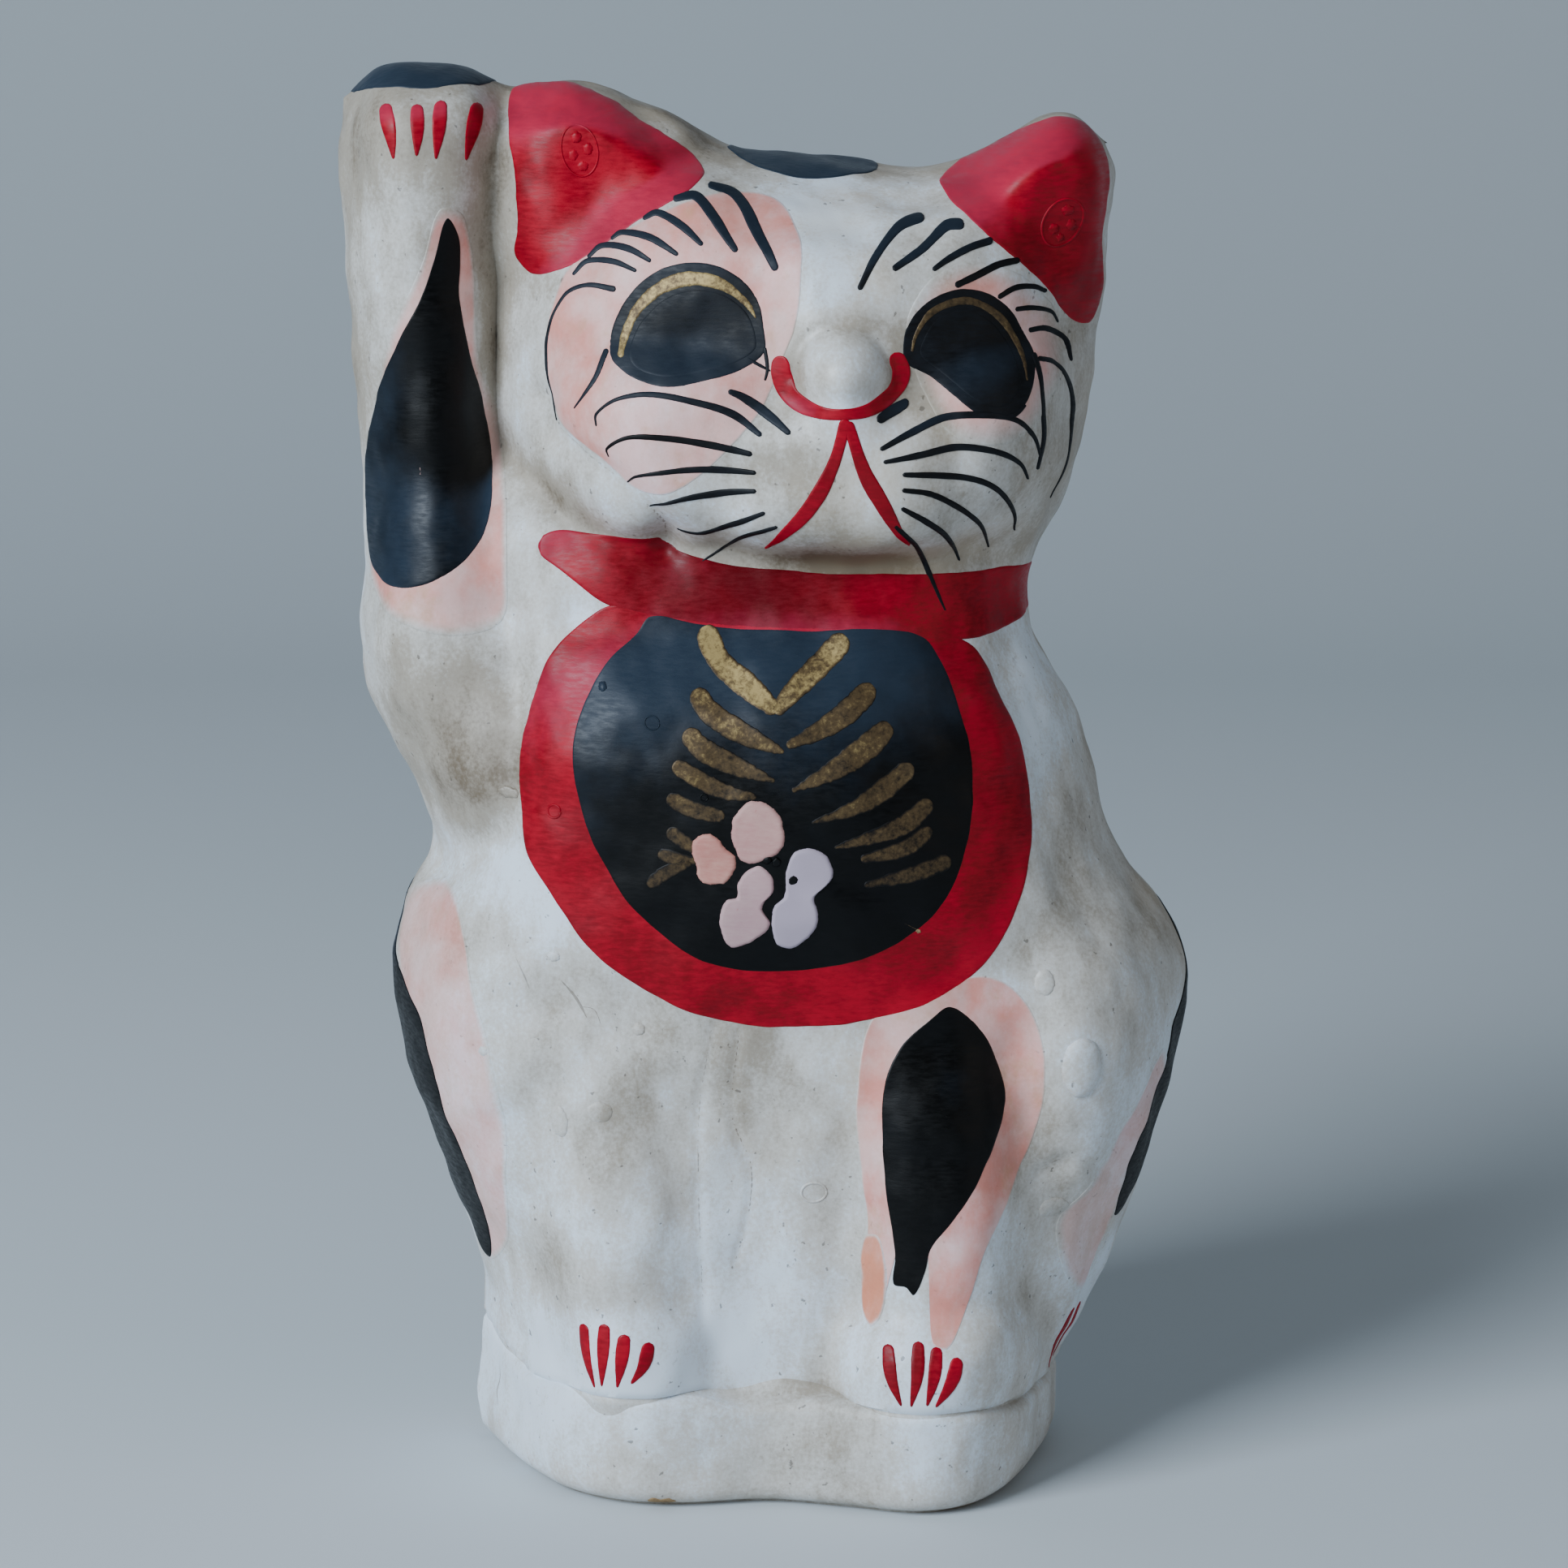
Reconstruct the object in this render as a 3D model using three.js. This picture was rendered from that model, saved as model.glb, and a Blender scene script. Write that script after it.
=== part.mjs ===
// Beckoning cat figurine in papier-mache, 240 mm tall, in millimetres, +Z up.
// The cat faces -Y, and its raised forepaw is on the -X side. The origin is the middle of the
// foot, on the face that stands on the shelf.
// The body is two pasted-paper half shells, front and back, that meet on the plane y = 0 and are
// taped together inside. A card board with a clay weight on it closes the foot, a strip of
// paper is wrapped round the join as a plinth, and a sheet of paper is pasted underneath.
import * as THREE from "three";

// Driving dimensions
const SHELL_WALL = 2.2; // pasted paper with its white ground
const GLUE_GAP = 0.3; // between pieces that are glued face to face
const UNDER_PAPER = 1.0;
const BOARD = 3.0;
const PLINTH_TOP = 18.0;
const PLINTH_WALL = 1.4;
const TAPE = 0.5;
const TAPE_CLEARANCE = 0.8; // from the inside of the shells, whose facets cut their curves
const WEIGHT = { halfWidth: 36, halfDepth: 27, height: 24 };

// Front view of the figure: the x of each side at a height z, and the height of the top at an x.
const LEFT_SIDE = [
  [0, -49], [4, -51], [12, -51.4], [18, -51], [24, -50], [32, -50.2], [50, -56.2], [72, -63],
  [88, -65], [96, -63.3], [108, -58.3], [116, -59.4], [126, -65], [136, -69.8], [146, -70.9],
  [160, -69.2], [180, -69], [205, -70.8], [225, -72], [234.5, -71.2],
];
const RIGHT_SIDE = [
  [0, 48], [4, 50], [12, 50.5], [18, 51.2], [26, 55.5], [40, 62.2], [60, 67.8], [74, 71],
  [86, 71.6], [93, 69.3], [101, 63.5], [110, 58.5], [120, 55.8], [130, 52.8], [138, 48.6],
  [145, 44.8], [152, 43.6], [158, 45.2], [166, 49], [176, 52.8], [195, 55.5], [212, 58.2],
  [222, 58.6], [227.5, 57],
];
const TOP_EDGE = [
  [-71.2, 234.5], [-65, 239.2], [-57, 240], [-50, 239], [-43, 236], [-38, 236.5], [-33, 237.4],
  [-27, 236], [-16, 230.7], [-6, 225.6], [4, 224.8], [14, 224], [24, 222.9], [32, 224.3],
  [40, 228.4], [46, 231.6], [51, 231.7], [57, 227.5],
];
// How far in from an edge its rounding reaches.
const SIDE_ROUNDING = [[0, 26], [110, 26], [125, 18], [150, 15], [235, 14.5]];
const RIGHT_ROUNDING = [[0, 26], [150, 24], [200, 22], [228, 12]];
const TOP_ROUNDING = [
  [-72, 9], [-57, 11], [-43, 8], [-30, 8], [-16, 11], [4, 17], [24, 15], [40, 9], [57, 8],
];
const SIDE_SHARE = 0.12; // share of the width, from each side, where the wall is set in sideways
const SHOULDER_HEIGHT = 232; // rows are level low down, and follow the top edge up here

// Swellings of the two halves: middle x and z, half width, half height, depth, squareness.
const FRONT_LOBES = [
  { x: 0, z: 74, w: 80, h: 112, depth: 36, power: 2.6 }, // trunk
  { x: -26, z: 46, w: 22, h: 52, depth: 39, power: 2.4 }, // right foreleg
  { x: 27, z: 48, w: 23, h: 54, depth: 41, power: 2.4 }, // left foreleg
  { x: -26, z: 23, w: 23, h: 21, depth: 40, power: 3 }, // right forefoot
  { x: 28, z: 21, w: 24, h: 22, depth: 44, power: 3 }, // left forefoot
  { x: -50, z: 74, w: 24, h: 42, depth: 32, power: 2.3 }, // right haunch
  { x: 55, z: 76, w: 25, h: 42, depth: 34, power: 2.3 }, // left haunch
  { x: 0, z: 114, w: 58, h: 48, depth: 42, power: 2.6 }, // belly
  { x: -2, z: 140, w: 68, h: 44, depth: 30, power: 2.6 }, // chest
  { x: -57, z: 142, w: 19, h: 40, depth: 24, power: 2.6 }, // elbow
  { x: -58.5, z: 190, w: 14, h: 86, depth: 19, power: 2.8 }, // raised forearm
  { x: -58, z: 226, w: 15.5, h: 24, depth: 20, power: 2.6 }, // raised paw
  { x: 7, z: 191, w: 54, h: 38, depth: 36, power: 2.8 }, // head
  { x: -13, z: 181, w: 27, h: 24, depth: 38.5, power: 2.8 }, // right cheek
  { x: 36, z: 180, w: 22, h: 24, depth: 37, power: 2.8 }, // left cheek
  { x: 12, z: 175, w: 30, h: 19.5, depth: 42.5, power: 3 }, // muzzle
  { x: -28, z: 219, w: 21, h: 26, depth: 22, power: 2.3 }, // right ear
  { x: 46, z: 213, w: 18, h: 26, depth: 23, power: 2.3 }, // left ear
];
const BACK_LOBES = [
  { x: 0, z: 74, w: 80, h: 108, depth: 38, power: 2.5 }, // back
  { x: 2, z: 50, w: 70, h: 62, depth: 41, power: 2.4 }, // rump
  { x: -4, z: 142, w: 68, h: 42, depth: 30, power: 2.5 }, // shoulders
  { x: -56, z: 146, w: 21, h: 42, depth: 18, power: 2.4 }, // elbow
  { x: -58, z: 190, w: 18, h: 86, depth: 13, power: 2.6 }, // raised arm
  { x: 7, z: 189, w: 57, h: 48, depth: 36, power: 2.4 }, // back of the head
  { x: -27, z: 219, w: 24, h: 27, depth: 14, power: 2.3 }, // right ear
  { x: 45, z: 213, w: 19, h: 27, depth: 15, power: 2.3 }, // left ear
];
const LOBE_SHOULDER = 0.6; // how steeply a swelling falls off at its border: 0.5 is an ellipsoid
const WEB = 8; // least depth of each half, between the arm and the ear
const LOBE_BLEND = 1.8; // how softly swellings run into each other
// Small rises and hollows: middle, half widths and height.
const FRONT_MARKS = [
  { x: 12, z: 190.5, w: 6.4, h: 7, rise: 8 }, // nose
  { x: 9, z: 204, w: 7, h: 10, rise: 1.6 }, // bridge of the nose
  { x: -10, z: 199, w: 12, h: 9, rise: -1.4 }, // right eye socket
  { x: 33, z: 196, w: 10, h: 9, rise: -1.4 }, // left eye socket
  { x: -28, z: 221, w: 9, h: 9, rise: -3.2 }, // hollow of the right ear
  { x: 47, z: 214, w: 8, h: 9, rise: -3.2 }, // hollow of the left ear
  { x: -3, z: 50, w: 7, h: 26, rise: -2 }, // valley between the forelegs
];
const BACK_MARKS = [
  { x: 14, z: 31, w: 18, h: 5.5, rise: 6 }, // tail, lying along the rump
  { x: 32, z: 39, w: 6, h: 10, rise: 6 }, // tip of the tail, turned up
];
// Plan of the foot. The front follows the toes of both forefeet; the back is a superellipse.
const PLINTH_FRONT = [
  [-51, 0], [-46.3, 12], [-41.5, 22], [-35.5, 31], [-26, 37.4], [-16, 39], [0, 37], [13, 40],
  [25, 43.6], [33, 41.8], [39, 36.5], [44, 26], [47.6, 13.5], [50.5, 0],
];
const PLINTH_BACK = { depth: 38, power: 2.5 };

// A smooth curve through [key, value] pairs, flat beyond both ends.
function through(points, key) {
  const last = points.length - 1;
  if (key <= points[0][0]) return points[0][1];
  if (key >= points[last][0]) return points[last][1];
  let i = 0;
  while (points[i + 1][0] < key) i += 1;
  const slope = (a, b) => (points[b][1] - points[a][1]) / (points[b][0] - points[a][0]);
  const [x0, y0] = points[i];
  const [x1, y1] = points[i + 1];
  const span = x1 - x0;
  const m0 = slope(Math.max(i - 1, 0), i + 1) * span;
  const m1 = slope(i, Math.min(i + 2, last)) * span;
  const u = (key - x0) / span;
  const rise = u * u * (3 - 2 * u);
  return y0 + (y1 - y0) * rise + m0 * u * (1 - u) * (1 - u) - m1 * u * u * (1 - u);
}

// A quarter circle: 0 at an edge, 1 from the given distance inwards.
function rounded(distance, reach) {
  const left = 1 - Math.min(Math.max(distance / reach, 0), 1);
  return Math.sqrt(1 - left * left);
}

// Depth of one swelling, a mound with a squarish outline.
function lobeDepth(lobe, x, z) {
  const across = Math.abs((x - lobe.x) / lobe.w) ** lobe.power;
  const up = Math.abs((z - lobe.z) / lobe.h) ** lobe.power;
  return lobe.depth * Math.max(0, 1 - across - up) ** LOBE_SHOULDER;
}

function markRise(mark, x, z) {
  return mark.rise * Math.exp(-(((x - mark.x) / mark.w) ** 2) - ((z - mark.z) / mark.h) ** 2);
}

// Depth of the body above the plinth, at a point of the front view.
function bodyDepth(x, z, edges, isFront) {
  const lobes = isFront ? FRONT_LOBES : BACK_LOBES;
  const marks = isFront ? FRONT_MARKS : BACK_MARKS;
  let sum = Math.exp(WEB / LOBE_BLEND);
  for (const lobe of lobes) sum += Math.exp(lobeDepth(lobe, x, z) / LOBE_BLEND);
  let depth = LOBE_BLEND * Math.log(sum);
  for (const mark of marks) depth += markRise(mark, x, z);
  return (
    depth *
    rounded(x - edges.left, through(SIDE_ROUNDING, z)) *
    rounded(edges.right - x, through(RIGHT_ROUNDING, z)) *
    rounded(edges.top - z, through(TOP_ROUNDING, x))
  );
}

// Depth of the foot of the figure at a share of its width, turned in at the lower edge.
function plinthDepth(share, z, isFront) {
  const [leftEnd, rightEnd] = [PLINTH_FRONT[0][0], PLINTH_FRONT[PLINTH_FRONT.length - 1][0]];
  const off = Math.abs(2 * share - 1) ** PLINTH_BACK.power;
  const plan = isFront
    ? through(PLINTH_FRONT, leftEnd + (rightEnd - leftEnd) * share)
    : PLINTH_BACK.depth * (1 - off) ** (1 / PLINTH_BACK.power);
  return plan * (0.93 + 0.07 * rounded(z, 5));
}

// A point of the skin. The angle runs round the figure, from 0 on the left side through the
// front to half a turn on the right side, and on round the back. Height runs from 0 to 1, and
// inset is how far inside the outer surface the point lies.
function skin(angle, height, inset = 0) {
  const isFront = angle >= 0 && angle <= Math.PI;
  const follow = Math.max(0, (height - 0.5) / 0.5) ** 3;
  const level = height * SHOULDER_HEIGHT;
  const leftTop = TOP_EDGE[0][1];
  const rightTop = TOP_EDGE[TOP_EDGE.length - 1][1];
  const left = through(LEFT_SIDE, level + follow * (leftTop - SHOULDER_HEIGHT));
  const right = through(RIGHT_SIDE, level + follow * (rightTop - SHOULDER_HEIGHT));
  const share = (1 - Math.cos(angle)) / 2;
  const x = left + (right - left) * share;
  const top = through(TOP_EDGE, x);
  const z = level + follow * (top - SHOULDER_HEIGHT);
  const onPlinth = z < PLINTH_TOP + GLUE_GAP;
  // Inside a steep flank the wall keeps its thickness: the least depth nearby counts.
  const near = 0.7 * inset * Math.min(1, Math.min(x - left, right - x, top - z) / 14);
  const edges = { left, right, top };
  const full = onPlinth
    ? plinthDepth(share, z, isFront)
    : Math.min(
        ...[[0, 0], [near, 0], [-near, 0], [0, near], [0, -near]].map(([dx, dz]) =>
          bodyDepth(x + dx, z + dz, edges, isFront),
        ),
      );
  const depth = full - (inset * full) / (full + 2.4);
  const y = isFront ? -depth : depth;
  const beside = (away) => Math.max(0, 1 - away / SIDE_SHARE) ** 2;
  const aside = beside(share) - beside(1 - share);
  return new THREE.Vector3(x + inset * aside, y, z - follow * inset);
}

// A closed sheet between two surfaces over the same grid. Both are functions of (u, v) from 0
// to 1. A ring closes on itself along u, and any other sheet has four edges.
function closedSheet(outer, inner, us, vs, isRing = false) {
  const columns = us.length;
  const rows = vs.length;
  const positions = [];
  for (const surface of [outer, inner])
    for (const v of vs) for (const u of us) positions.push(...surface(u, v).toArray());
  const at = (layer, i, j) => layer * rows * columns + j * columns + (i % columns);
  const faces = [];
  const quad = (a, b, c, d) => faces.push(a, b, c, a, c, d);
  const spans = isRing ? columns : columns - 1;
  for (let j = 0; j < rows - 1; j += 1)
    for (let i = 0; i < spans; i += 1) {
      quad(at(0, i, j), at(0, i + 1, j), at(0, i + 1, j + 1), at(0, i, j + 1));
      quad(at(1, i, j), at(1, i, j + 1), at(1, i + 1, j + 1), at(1, i + 1, j));
    }
  for (let i = 0; i < spans; i += 1) {
    quad(at(0, i, 0), at(1, i, 0), at(1, i + 1, 0), at(0, i + 1, 0));
    quad(at(0, i, rows - 1), at(0, i + 1, rows - 1), at(1, i + 1, rows - 1), at(1, i, rows - 1));
  }
  if (!isRing)
    for (let j = 0; j < rows - 1; j += 1) {
      quad(at(0, 0, j), at(0, 0, j + 1), at(1, 0, j + 1), at(1, 0, j));
      quad(at(0, spans, j), at(1, spans, j), at(1, spans, j + 1), at(0, spans, j + 1));
    }
  const geometry = new THREE.BufferGeometry();
  geometry.setAttribute("position", new THREE.Float32BufferAttribute(positions, 3));
  geometry.setIndex(faces);
  geometry.computeVertexNormals();
  return geometry;
}

function evenly(count, from = 0, to = 1) {
  return Array.from({ length: count + 1 }, (_, i) => from + ((to - from) * i) / count);
}

const heightAt = (z) => z / SHOULDER_HEIGHT;
const PLINTH_FOOT = UNDER_PAPER + GLUE_GAP;
const BOARD_TOP = PLINTH_FOOT + BOARD;
const SHELL_FOOT = BOARD_TOP + GLUE_GAP;
const TUCK = PLINTH_WALL + GLUE_GAP + 0.4; // the shell stands this far inside the plinth's face

// Row heights of a half shell: two behind the plinth, then close under its lip, then on to the
// top edge, closer together as the surface turns over.
function shellRows() {
  const low = [SHELL_FOOT, PLINTH_TOP + GLUE_GAP / 2].map(heightAt);
  const first = heightAt(PLINTH_TOP + GLUE_GAP + 0.1);
  const rest = evenly(50).map((v) => first + (1 - first) * (1 - (1 - v) ** 1.6));
  return [...low, ...rest];
}

function halfShell(isFront) {
  const turn = isFront ? 0 : Math.PI;
  const parting = new THREE.Vector3(0, isFront ? -GLUE_GAP / 2 : GLUE_GAP / 2, 0);
  const surface = (inset) => (u, v) => {
    const tuck = v * SHOULDER_HEIGHT < PLINTH_TOP + GLUE_GAP ? TUCK : 0;
    return skin(turn + u * Math.PI, v, tuck + inset).add(parting);
  };
  return closedSheet(surface(0), surface(SHELL_WALL), evenly(46), shellRows());
}

// The strip of paper round the foot.
function plinthBand() {
  const face = (inset) => (u, v) => skin(u * 2 * Math.PI, v, inset);
  const turns = evenly(64).slice(0, -1);
  const rows = [PLINTH_FOOT, 4, 10, PLINTH_TOP].map(heightAt);
  return closedSheet(face(0), face(PLINTH_WALL), turns, rows, true);
}

// A flat piece with the plan of the foot at a height, that much inside its face.
function footPlate(z, inset, thickness) {
  const outline = evenly(64)
    .slice(0, -1)
    .map((u) => skin(u * 2 * Math.PI, heightAt(z), inset))
    .map((p) => new THREE.Vector2(p.x, p.y));
  return new THREE.ExtrudeGeometry(new THREE.Shape(outline), { depth: thickness, bevelEnabled: false });
}

// Paper tape inside a side seam: a narrow band of the skin either side of the parting plane.
function sideTape(middleAngle, top) {
  const reach = 0.34;
  const inside = TAPE_CLEARANCE + SHELL_WALL;
  const face = (inset) => (u, v) => skin(middleAngle + (2 * u - 1) * reach, v, inset);
  const rows = evenly(22, heightAt(PLINTH_TOP + 8), top);
  return closedSheet(face(inside), face(inside + TAPE), evenly(6), rows);
}

// Paper tape inside the top of the head, from ear to ear: it runs up the front, over and down.
function crownTape() {
  const reach = 0.035;
  const inside = TAPE_CLEARANCE + SHELL_WALL;
  const face = (inset) => (u, v) => {
    const angle = Math.PI * (0.36 + 0.46 * u);
    const over = 2 * v - 1;
    return skin(over < 0 ? angle : 2 * Math.PI - angle, 1 - reach * over * over, inset);
  };
  return closedSheet(face(inside), face(inside + TAPE), evenly(20), evenly(8));
}

// The lump of clay that steadies the figure: a low dome with a flat foot.
function clayWeight() {
  const profile = new THREE.Path();
  profile.moveTo(0, 0);
  profile.lineTo(WEIGHT.halfWidth - 3, 0);
  profile.quadraticCurveTo(WEIGHT.halfWidth, 0, WEIGHT.halfWidth, 4);
  profile.bezierCurveTo(
    WEIGHT.halfWidth, WEIGHT.height * 0.7, WEIGHT.halfWidth * 0.6, WEIGHT.height, 0, WEIGHT.height,
  );
  const dome = new THREE.LatheGeometry(profile.getPoints(5), 32);
  return dome.rotateX(Math.PI / 2).scale(1, WEIGHT.halfDepth / WEIGHT.halfWidth, 1);
}

const WHITE_GROUND = new THREE.MeshStandardMaterial({ color: 0xcfcac0, roughness: 0.5, metalness: 0 });
const BARE_PAPER = new THREE.MeshStandardMaterial({ color: 0xb59a72, roughness: 0.9, metalness: 0 });
const GREY_CARD = new THREE.MeshStandardMaterial({ color: 0x8f8574, roughness: 0.9, metalness: 0 });
const RAW_CLAY = new THREE.MeshStandardMaterial({ color: 0x9a7b5f, roughness: 0.95, metalness: 0 });

const cat = new THREE.Group();

function addPiece(name, geometry, material, z = 0) {
  const mesh = new THREE.Mesh(geometry, material);
  mesh.name = name;
  mesh.position.z = z;
  cat.add(mesh);
}

addPiece("front_shell", halfShell(true), WHITE_GROUND);
addPiece("back_shell", halfShell(false), WHITE_GROUND);
addPiece("plinth_band", plinthBand(), WHITE_GROUND);
addPiece("underside_paper", footPlate(0.5, 0, UNDER_PAPER), BARE_PAPER);
addPiece("base_board", footPlate(PLINTH_FOOT, PLINTH_WALL + GLUE_GAP, BOARD), GREY_CARD, PLINTH_FOOT);
addPiece("clay_weight", clayWeight(), RAW_CLAY, BOARD_TOP + GLUE_GAP);
addPiece("right_seam_tape", sideTape(0, 0.9), BARE_PAPER);
addPiece("left_seam_tape", sideTape(Math.PI, 0.86), BARE_PAPER);
addPiece("crown_seam_tape", crownTape(), BARE_PAPER);

export default cat;
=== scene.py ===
# %% [markdown]
# # A beckoning cat of painted papier-mache
#
# The real figure is pasted up from paper over a wooden form, cut off it in two halves, taped
# together again, closed at the foot with a board and coated with white chalk ground. Then
# it is painted by hand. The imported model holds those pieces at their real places. This script
# gives them their looks: a finer skin with its dents and blisters, and every brush stroke as
# a film of paint of its own, a few tenths of a millimetre thick.
#
# Two ways are open for the paint: masks in one big material, or thin pieces of mesh. A mask is
# quick but its edge is only as sharp as its texture. A film has a crisp edge at any distance,
# catches the light along its rim, and can lie over another film as real paint does, so films
# are what this script makes.

import bpy
import numpy as np
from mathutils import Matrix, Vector


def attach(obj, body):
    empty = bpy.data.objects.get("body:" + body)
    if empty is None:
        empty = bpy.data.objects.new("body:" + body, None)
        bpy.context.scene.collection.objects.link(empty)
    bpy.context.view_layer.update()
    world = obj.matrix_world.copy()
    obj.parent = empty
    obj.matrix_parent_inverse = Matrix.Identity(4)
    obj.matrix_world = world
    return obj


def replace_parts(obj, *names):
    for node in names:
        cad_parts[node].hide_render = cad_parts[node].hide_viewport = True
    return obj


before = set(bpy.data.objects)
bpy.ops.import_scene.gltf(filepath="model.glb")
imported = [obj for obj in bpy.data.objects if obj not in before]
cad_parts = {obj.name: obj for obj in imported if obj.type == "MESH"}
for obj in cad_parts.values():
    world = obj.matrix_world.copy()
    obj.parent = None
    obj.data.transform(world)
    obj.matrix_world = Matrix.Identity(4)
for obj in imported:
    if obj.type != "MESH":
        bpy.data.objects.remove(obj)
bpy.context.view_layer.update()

MM = 0.001  # the shapes below are worked out in millimetres, and Blender's unit is the metre


print("nodes:", sorted(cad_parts))

# %% [markdown]
# ## The form of the cat
#
# A figure like this could be sculpted, or built from metaballs. Here it is a function, because
# the paint has to lie on it: given a place on the skin, the function says where that is in
# space, and both the shell and every film of paint ask the same function.
#
# The front view gives two side curves and a top curve. Between them the figure swells to the
# front and the back: each limb is one rounded swelling, and they run softly into each other.

# %% Curves of the front view, in millimetres
LEFT_SIDE = [
    (0, -49), (4, -51), (12, -51.4), (18, -51), (24, -50), (32, -50.2), (50, -56.2), (72, -63),
    (88, -65), (96, -63.3), (108, -58.3), (116, -59.4), (126, -65), (136, -69.8), (146, -70.9),
    (160, -69.2), (180, -69), (205, -70.8), (225, -72), (234.5, -71.2),
]
RIGHT_SIDE = [
    (0, 48), (4, 50), (12, 50.5), (18, 51.2), (26, 55.5), (40, 62.2), (60, 67.8), (74, 71),
    (86, 71.6), (93, 69.3), (101, 63.5), (110, 58.5), (120, 55.8), (130, 52.8), (138, 48.6),
    (145, 44.8), (152, 43.6), (158, 45.2), (166, 49), (176, 52.8), (195, 55.5), (212, 58.2),
    (222, 58.6), (227.5, 57),
]
TOP_EDGE = [
    (-71.2, 234.5), (-65, 239.2), (-57, 240), (-50, 239), (-43, 236), (-38, 236.5), (-33, 237.4),
    (-27, 236), (-16, 230.7), (-6, 225.6), (4, 224.8), (14, 224), (24, 222.9), (32, 224.3),
    (40, 228.4), (46, 231.6), (51, 231.7), (57, 227.5),
]
# How far in from an edge its rounding reaches.
LEFT_ROUNDING = [(0, 26), (110, 26), (125, 18), (150, 15), (235, 14.5)]
RIGHT_ROUNDING = [(0, 26), (150, 24), (200, 22), (228, 12)]
TOP_ROUNDING = [
    (-72, 9), (-57, 11), (-43, 8), (-30, 8), (-16, 11), (4, 17), (24, 15), (40, 9), (57, 8),
]
SHOULDER_HEIGHT = 232.0  # rows are level low down, and follow the top edge up here


def through(points, key):
    """A curve through (key, value) pairs. Between two pairs it is a cubic, and its slope at each
    pair is that of the straight line between the neighbours on either side."""
    keys, values = np.array(points, float).T
    key = np.clip(key, keys[0], keys[-1])
    i = np.clip(np.searchsorted(keys, key, side="right") - 1, 0, len(keys) - 2)
    before, after = np.maximum(i - 1, 0), np.minimum(i + 2, len(keys) - 1)
    span = keys[i + 1] - keys[i]
    slope_in = (values[i + 1] - values[before]) / (keys[i + 1] - keys[before]) * span
    slope_out = (values[after] - values[i]) / (keys[after] - keys[i]) * span
    u = (key - keys[i]) / span
    steps = values[i] + (values[i + 1] - values[i]) * u * u * (3 - 2 * u)
    return steps + slope_in * u * (1 - u) ** 2 - slope_out * u * u * (1 - u)


print("half way up, the figure is", np.round(through(RIGHT_SIDE, 120) - through(LEFT_SIDE, 120)), "mm wide")

# %% [markdown]
# ## How far each half swells
#
# A half is pressed over a carved form, so each limb is a rounded lump that runs into the next.
# Every lump could be a sphere, joined to the others by a Remesh modifier. Here each is a row of six
# numbers and the function takes a soft maximum of them, so one lump can be moved without sculpting
# the rest again.

# %% Swellings of the two halves
# Each is (middle x, middle z, half width, half height, depth, squareness).
FRONT_SWELLINGS = {
    "trunk": (0, 74, 80, 112, 36, 2.6),
    "right foreleg": (-26, 46, 22, 52, 39, 2.4),
    "left foreleg": (27, 48, 23, 54, 41, 2.4),
    "right forefoot": (-26, 23, 23, 21, 40, 3),
    "left forefoot": (28, 21, 24, 22, 44, 3),
    "right haunch": (-50, 74, 24, 42, 32, 2.3),
    "left haunch": (55, 76, 25, 42, 34, 2.3),
    "belly": (0, 114, 58, 48, 42, 2.6),
    "chest": (-2, 140, 68, 44, 30, 2.6),
    "elbow": (-57, 142, 19, 40, 24, 2.6),
    "raised forearm": (-58.5, 190, 14, 86, 19, 2.8),
    "raised paw": (-58, 226, 15.5, 24, 20, 2.6),
    "head": (7, 191, 54, 38, 36, 2.8),
    "right cheek": (-13, 181, 27, 24, 38.5, 2.8),
    "left cheek": (36, 180, 22, 24, 37, 2.8),
    "muzzle": (12, 175, 30, 19.5, 42.5, 3),
    "right ear": (-28, 219, 21, 26, 22, 2.3),
    "left ear": (46, 213, 18, 26, 23, 2.3),
}
BACK_SWELLINGS = {
    "back": (0, 74, 80, 108, 38, 2.5),
    "rump": (2, 50, 70, 62, 41, 2.4),
    "shoulders": (-4, 142, 68, 42, 30, 2.5),
    "elbow": (-56, 146, 21, 42, 18, 2.4),
    "raised arm": (-58, 190, 18, 86, 13, 2.6),
    "back of the head": (7, 189, 57, 48, 36, 2.4),
    "right ear": (-27, 219, 24, 27, 14, 2.3),
    "left ear": (45, 213, 19, 27, 15, 2.3),
}
SHOULDER = 0.6  # how steeply a swelling falls off at its border: 0.5 is an ellipsoid
WEB = 8  # least depth of each half, between the arm and the ear
BLEND = 1.8  # how softly swellings run into each other
# Small rises and hollows: (middle x, middle z, half width, half height, rise).
FRONT_MARKS = [
    (12, 190.5, 6.4, 7, 8),  # nose
    (9, 204, 7, 10, 1.6),  # bridge of the nose
    (-10, 199, 12, 9, -1.4),  # right eye socket
    (33, 196, 10, 9, -1.4),  # left eye socket
    (-28, 221, 9, 9, -3.2),  # hollow of the right ear
    (47, 214, 8, 9, -3.2),  # hollow of the left ear
    (-3, 50, 7, 26, -2),  # valley between the forelegs
]
BACK_MARKS = [
    (14, 31, 18, 5.5, 6),  # tail, lying along the rump
    (32, 39, 6, 10, 6),  # tip of the tail, turned up
]


def rounded(distance, reach):
    """A quarter circle: 0 at an edge, and 1 from the given reach inwards."""
    return np.sqrt(1 - (1 - np.clip(distance / reach, 0, 1)) ** 2)


def swelling_depth(x, z, middle_x, middle_z, half_width, half_height, depth, power):
    """A mound: the shares of the half width and half height, each to a power, and what they
    leave of 1, to the power that sets its shoulder, times the depth."""
    across = np.abs((x - middle_x) / half_width) ** power
    up = np.abs((z - middle_z) / half_height) ** power
    return depth * np.maximum(0, 1 - across - up) ** SHOULDER


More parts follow.
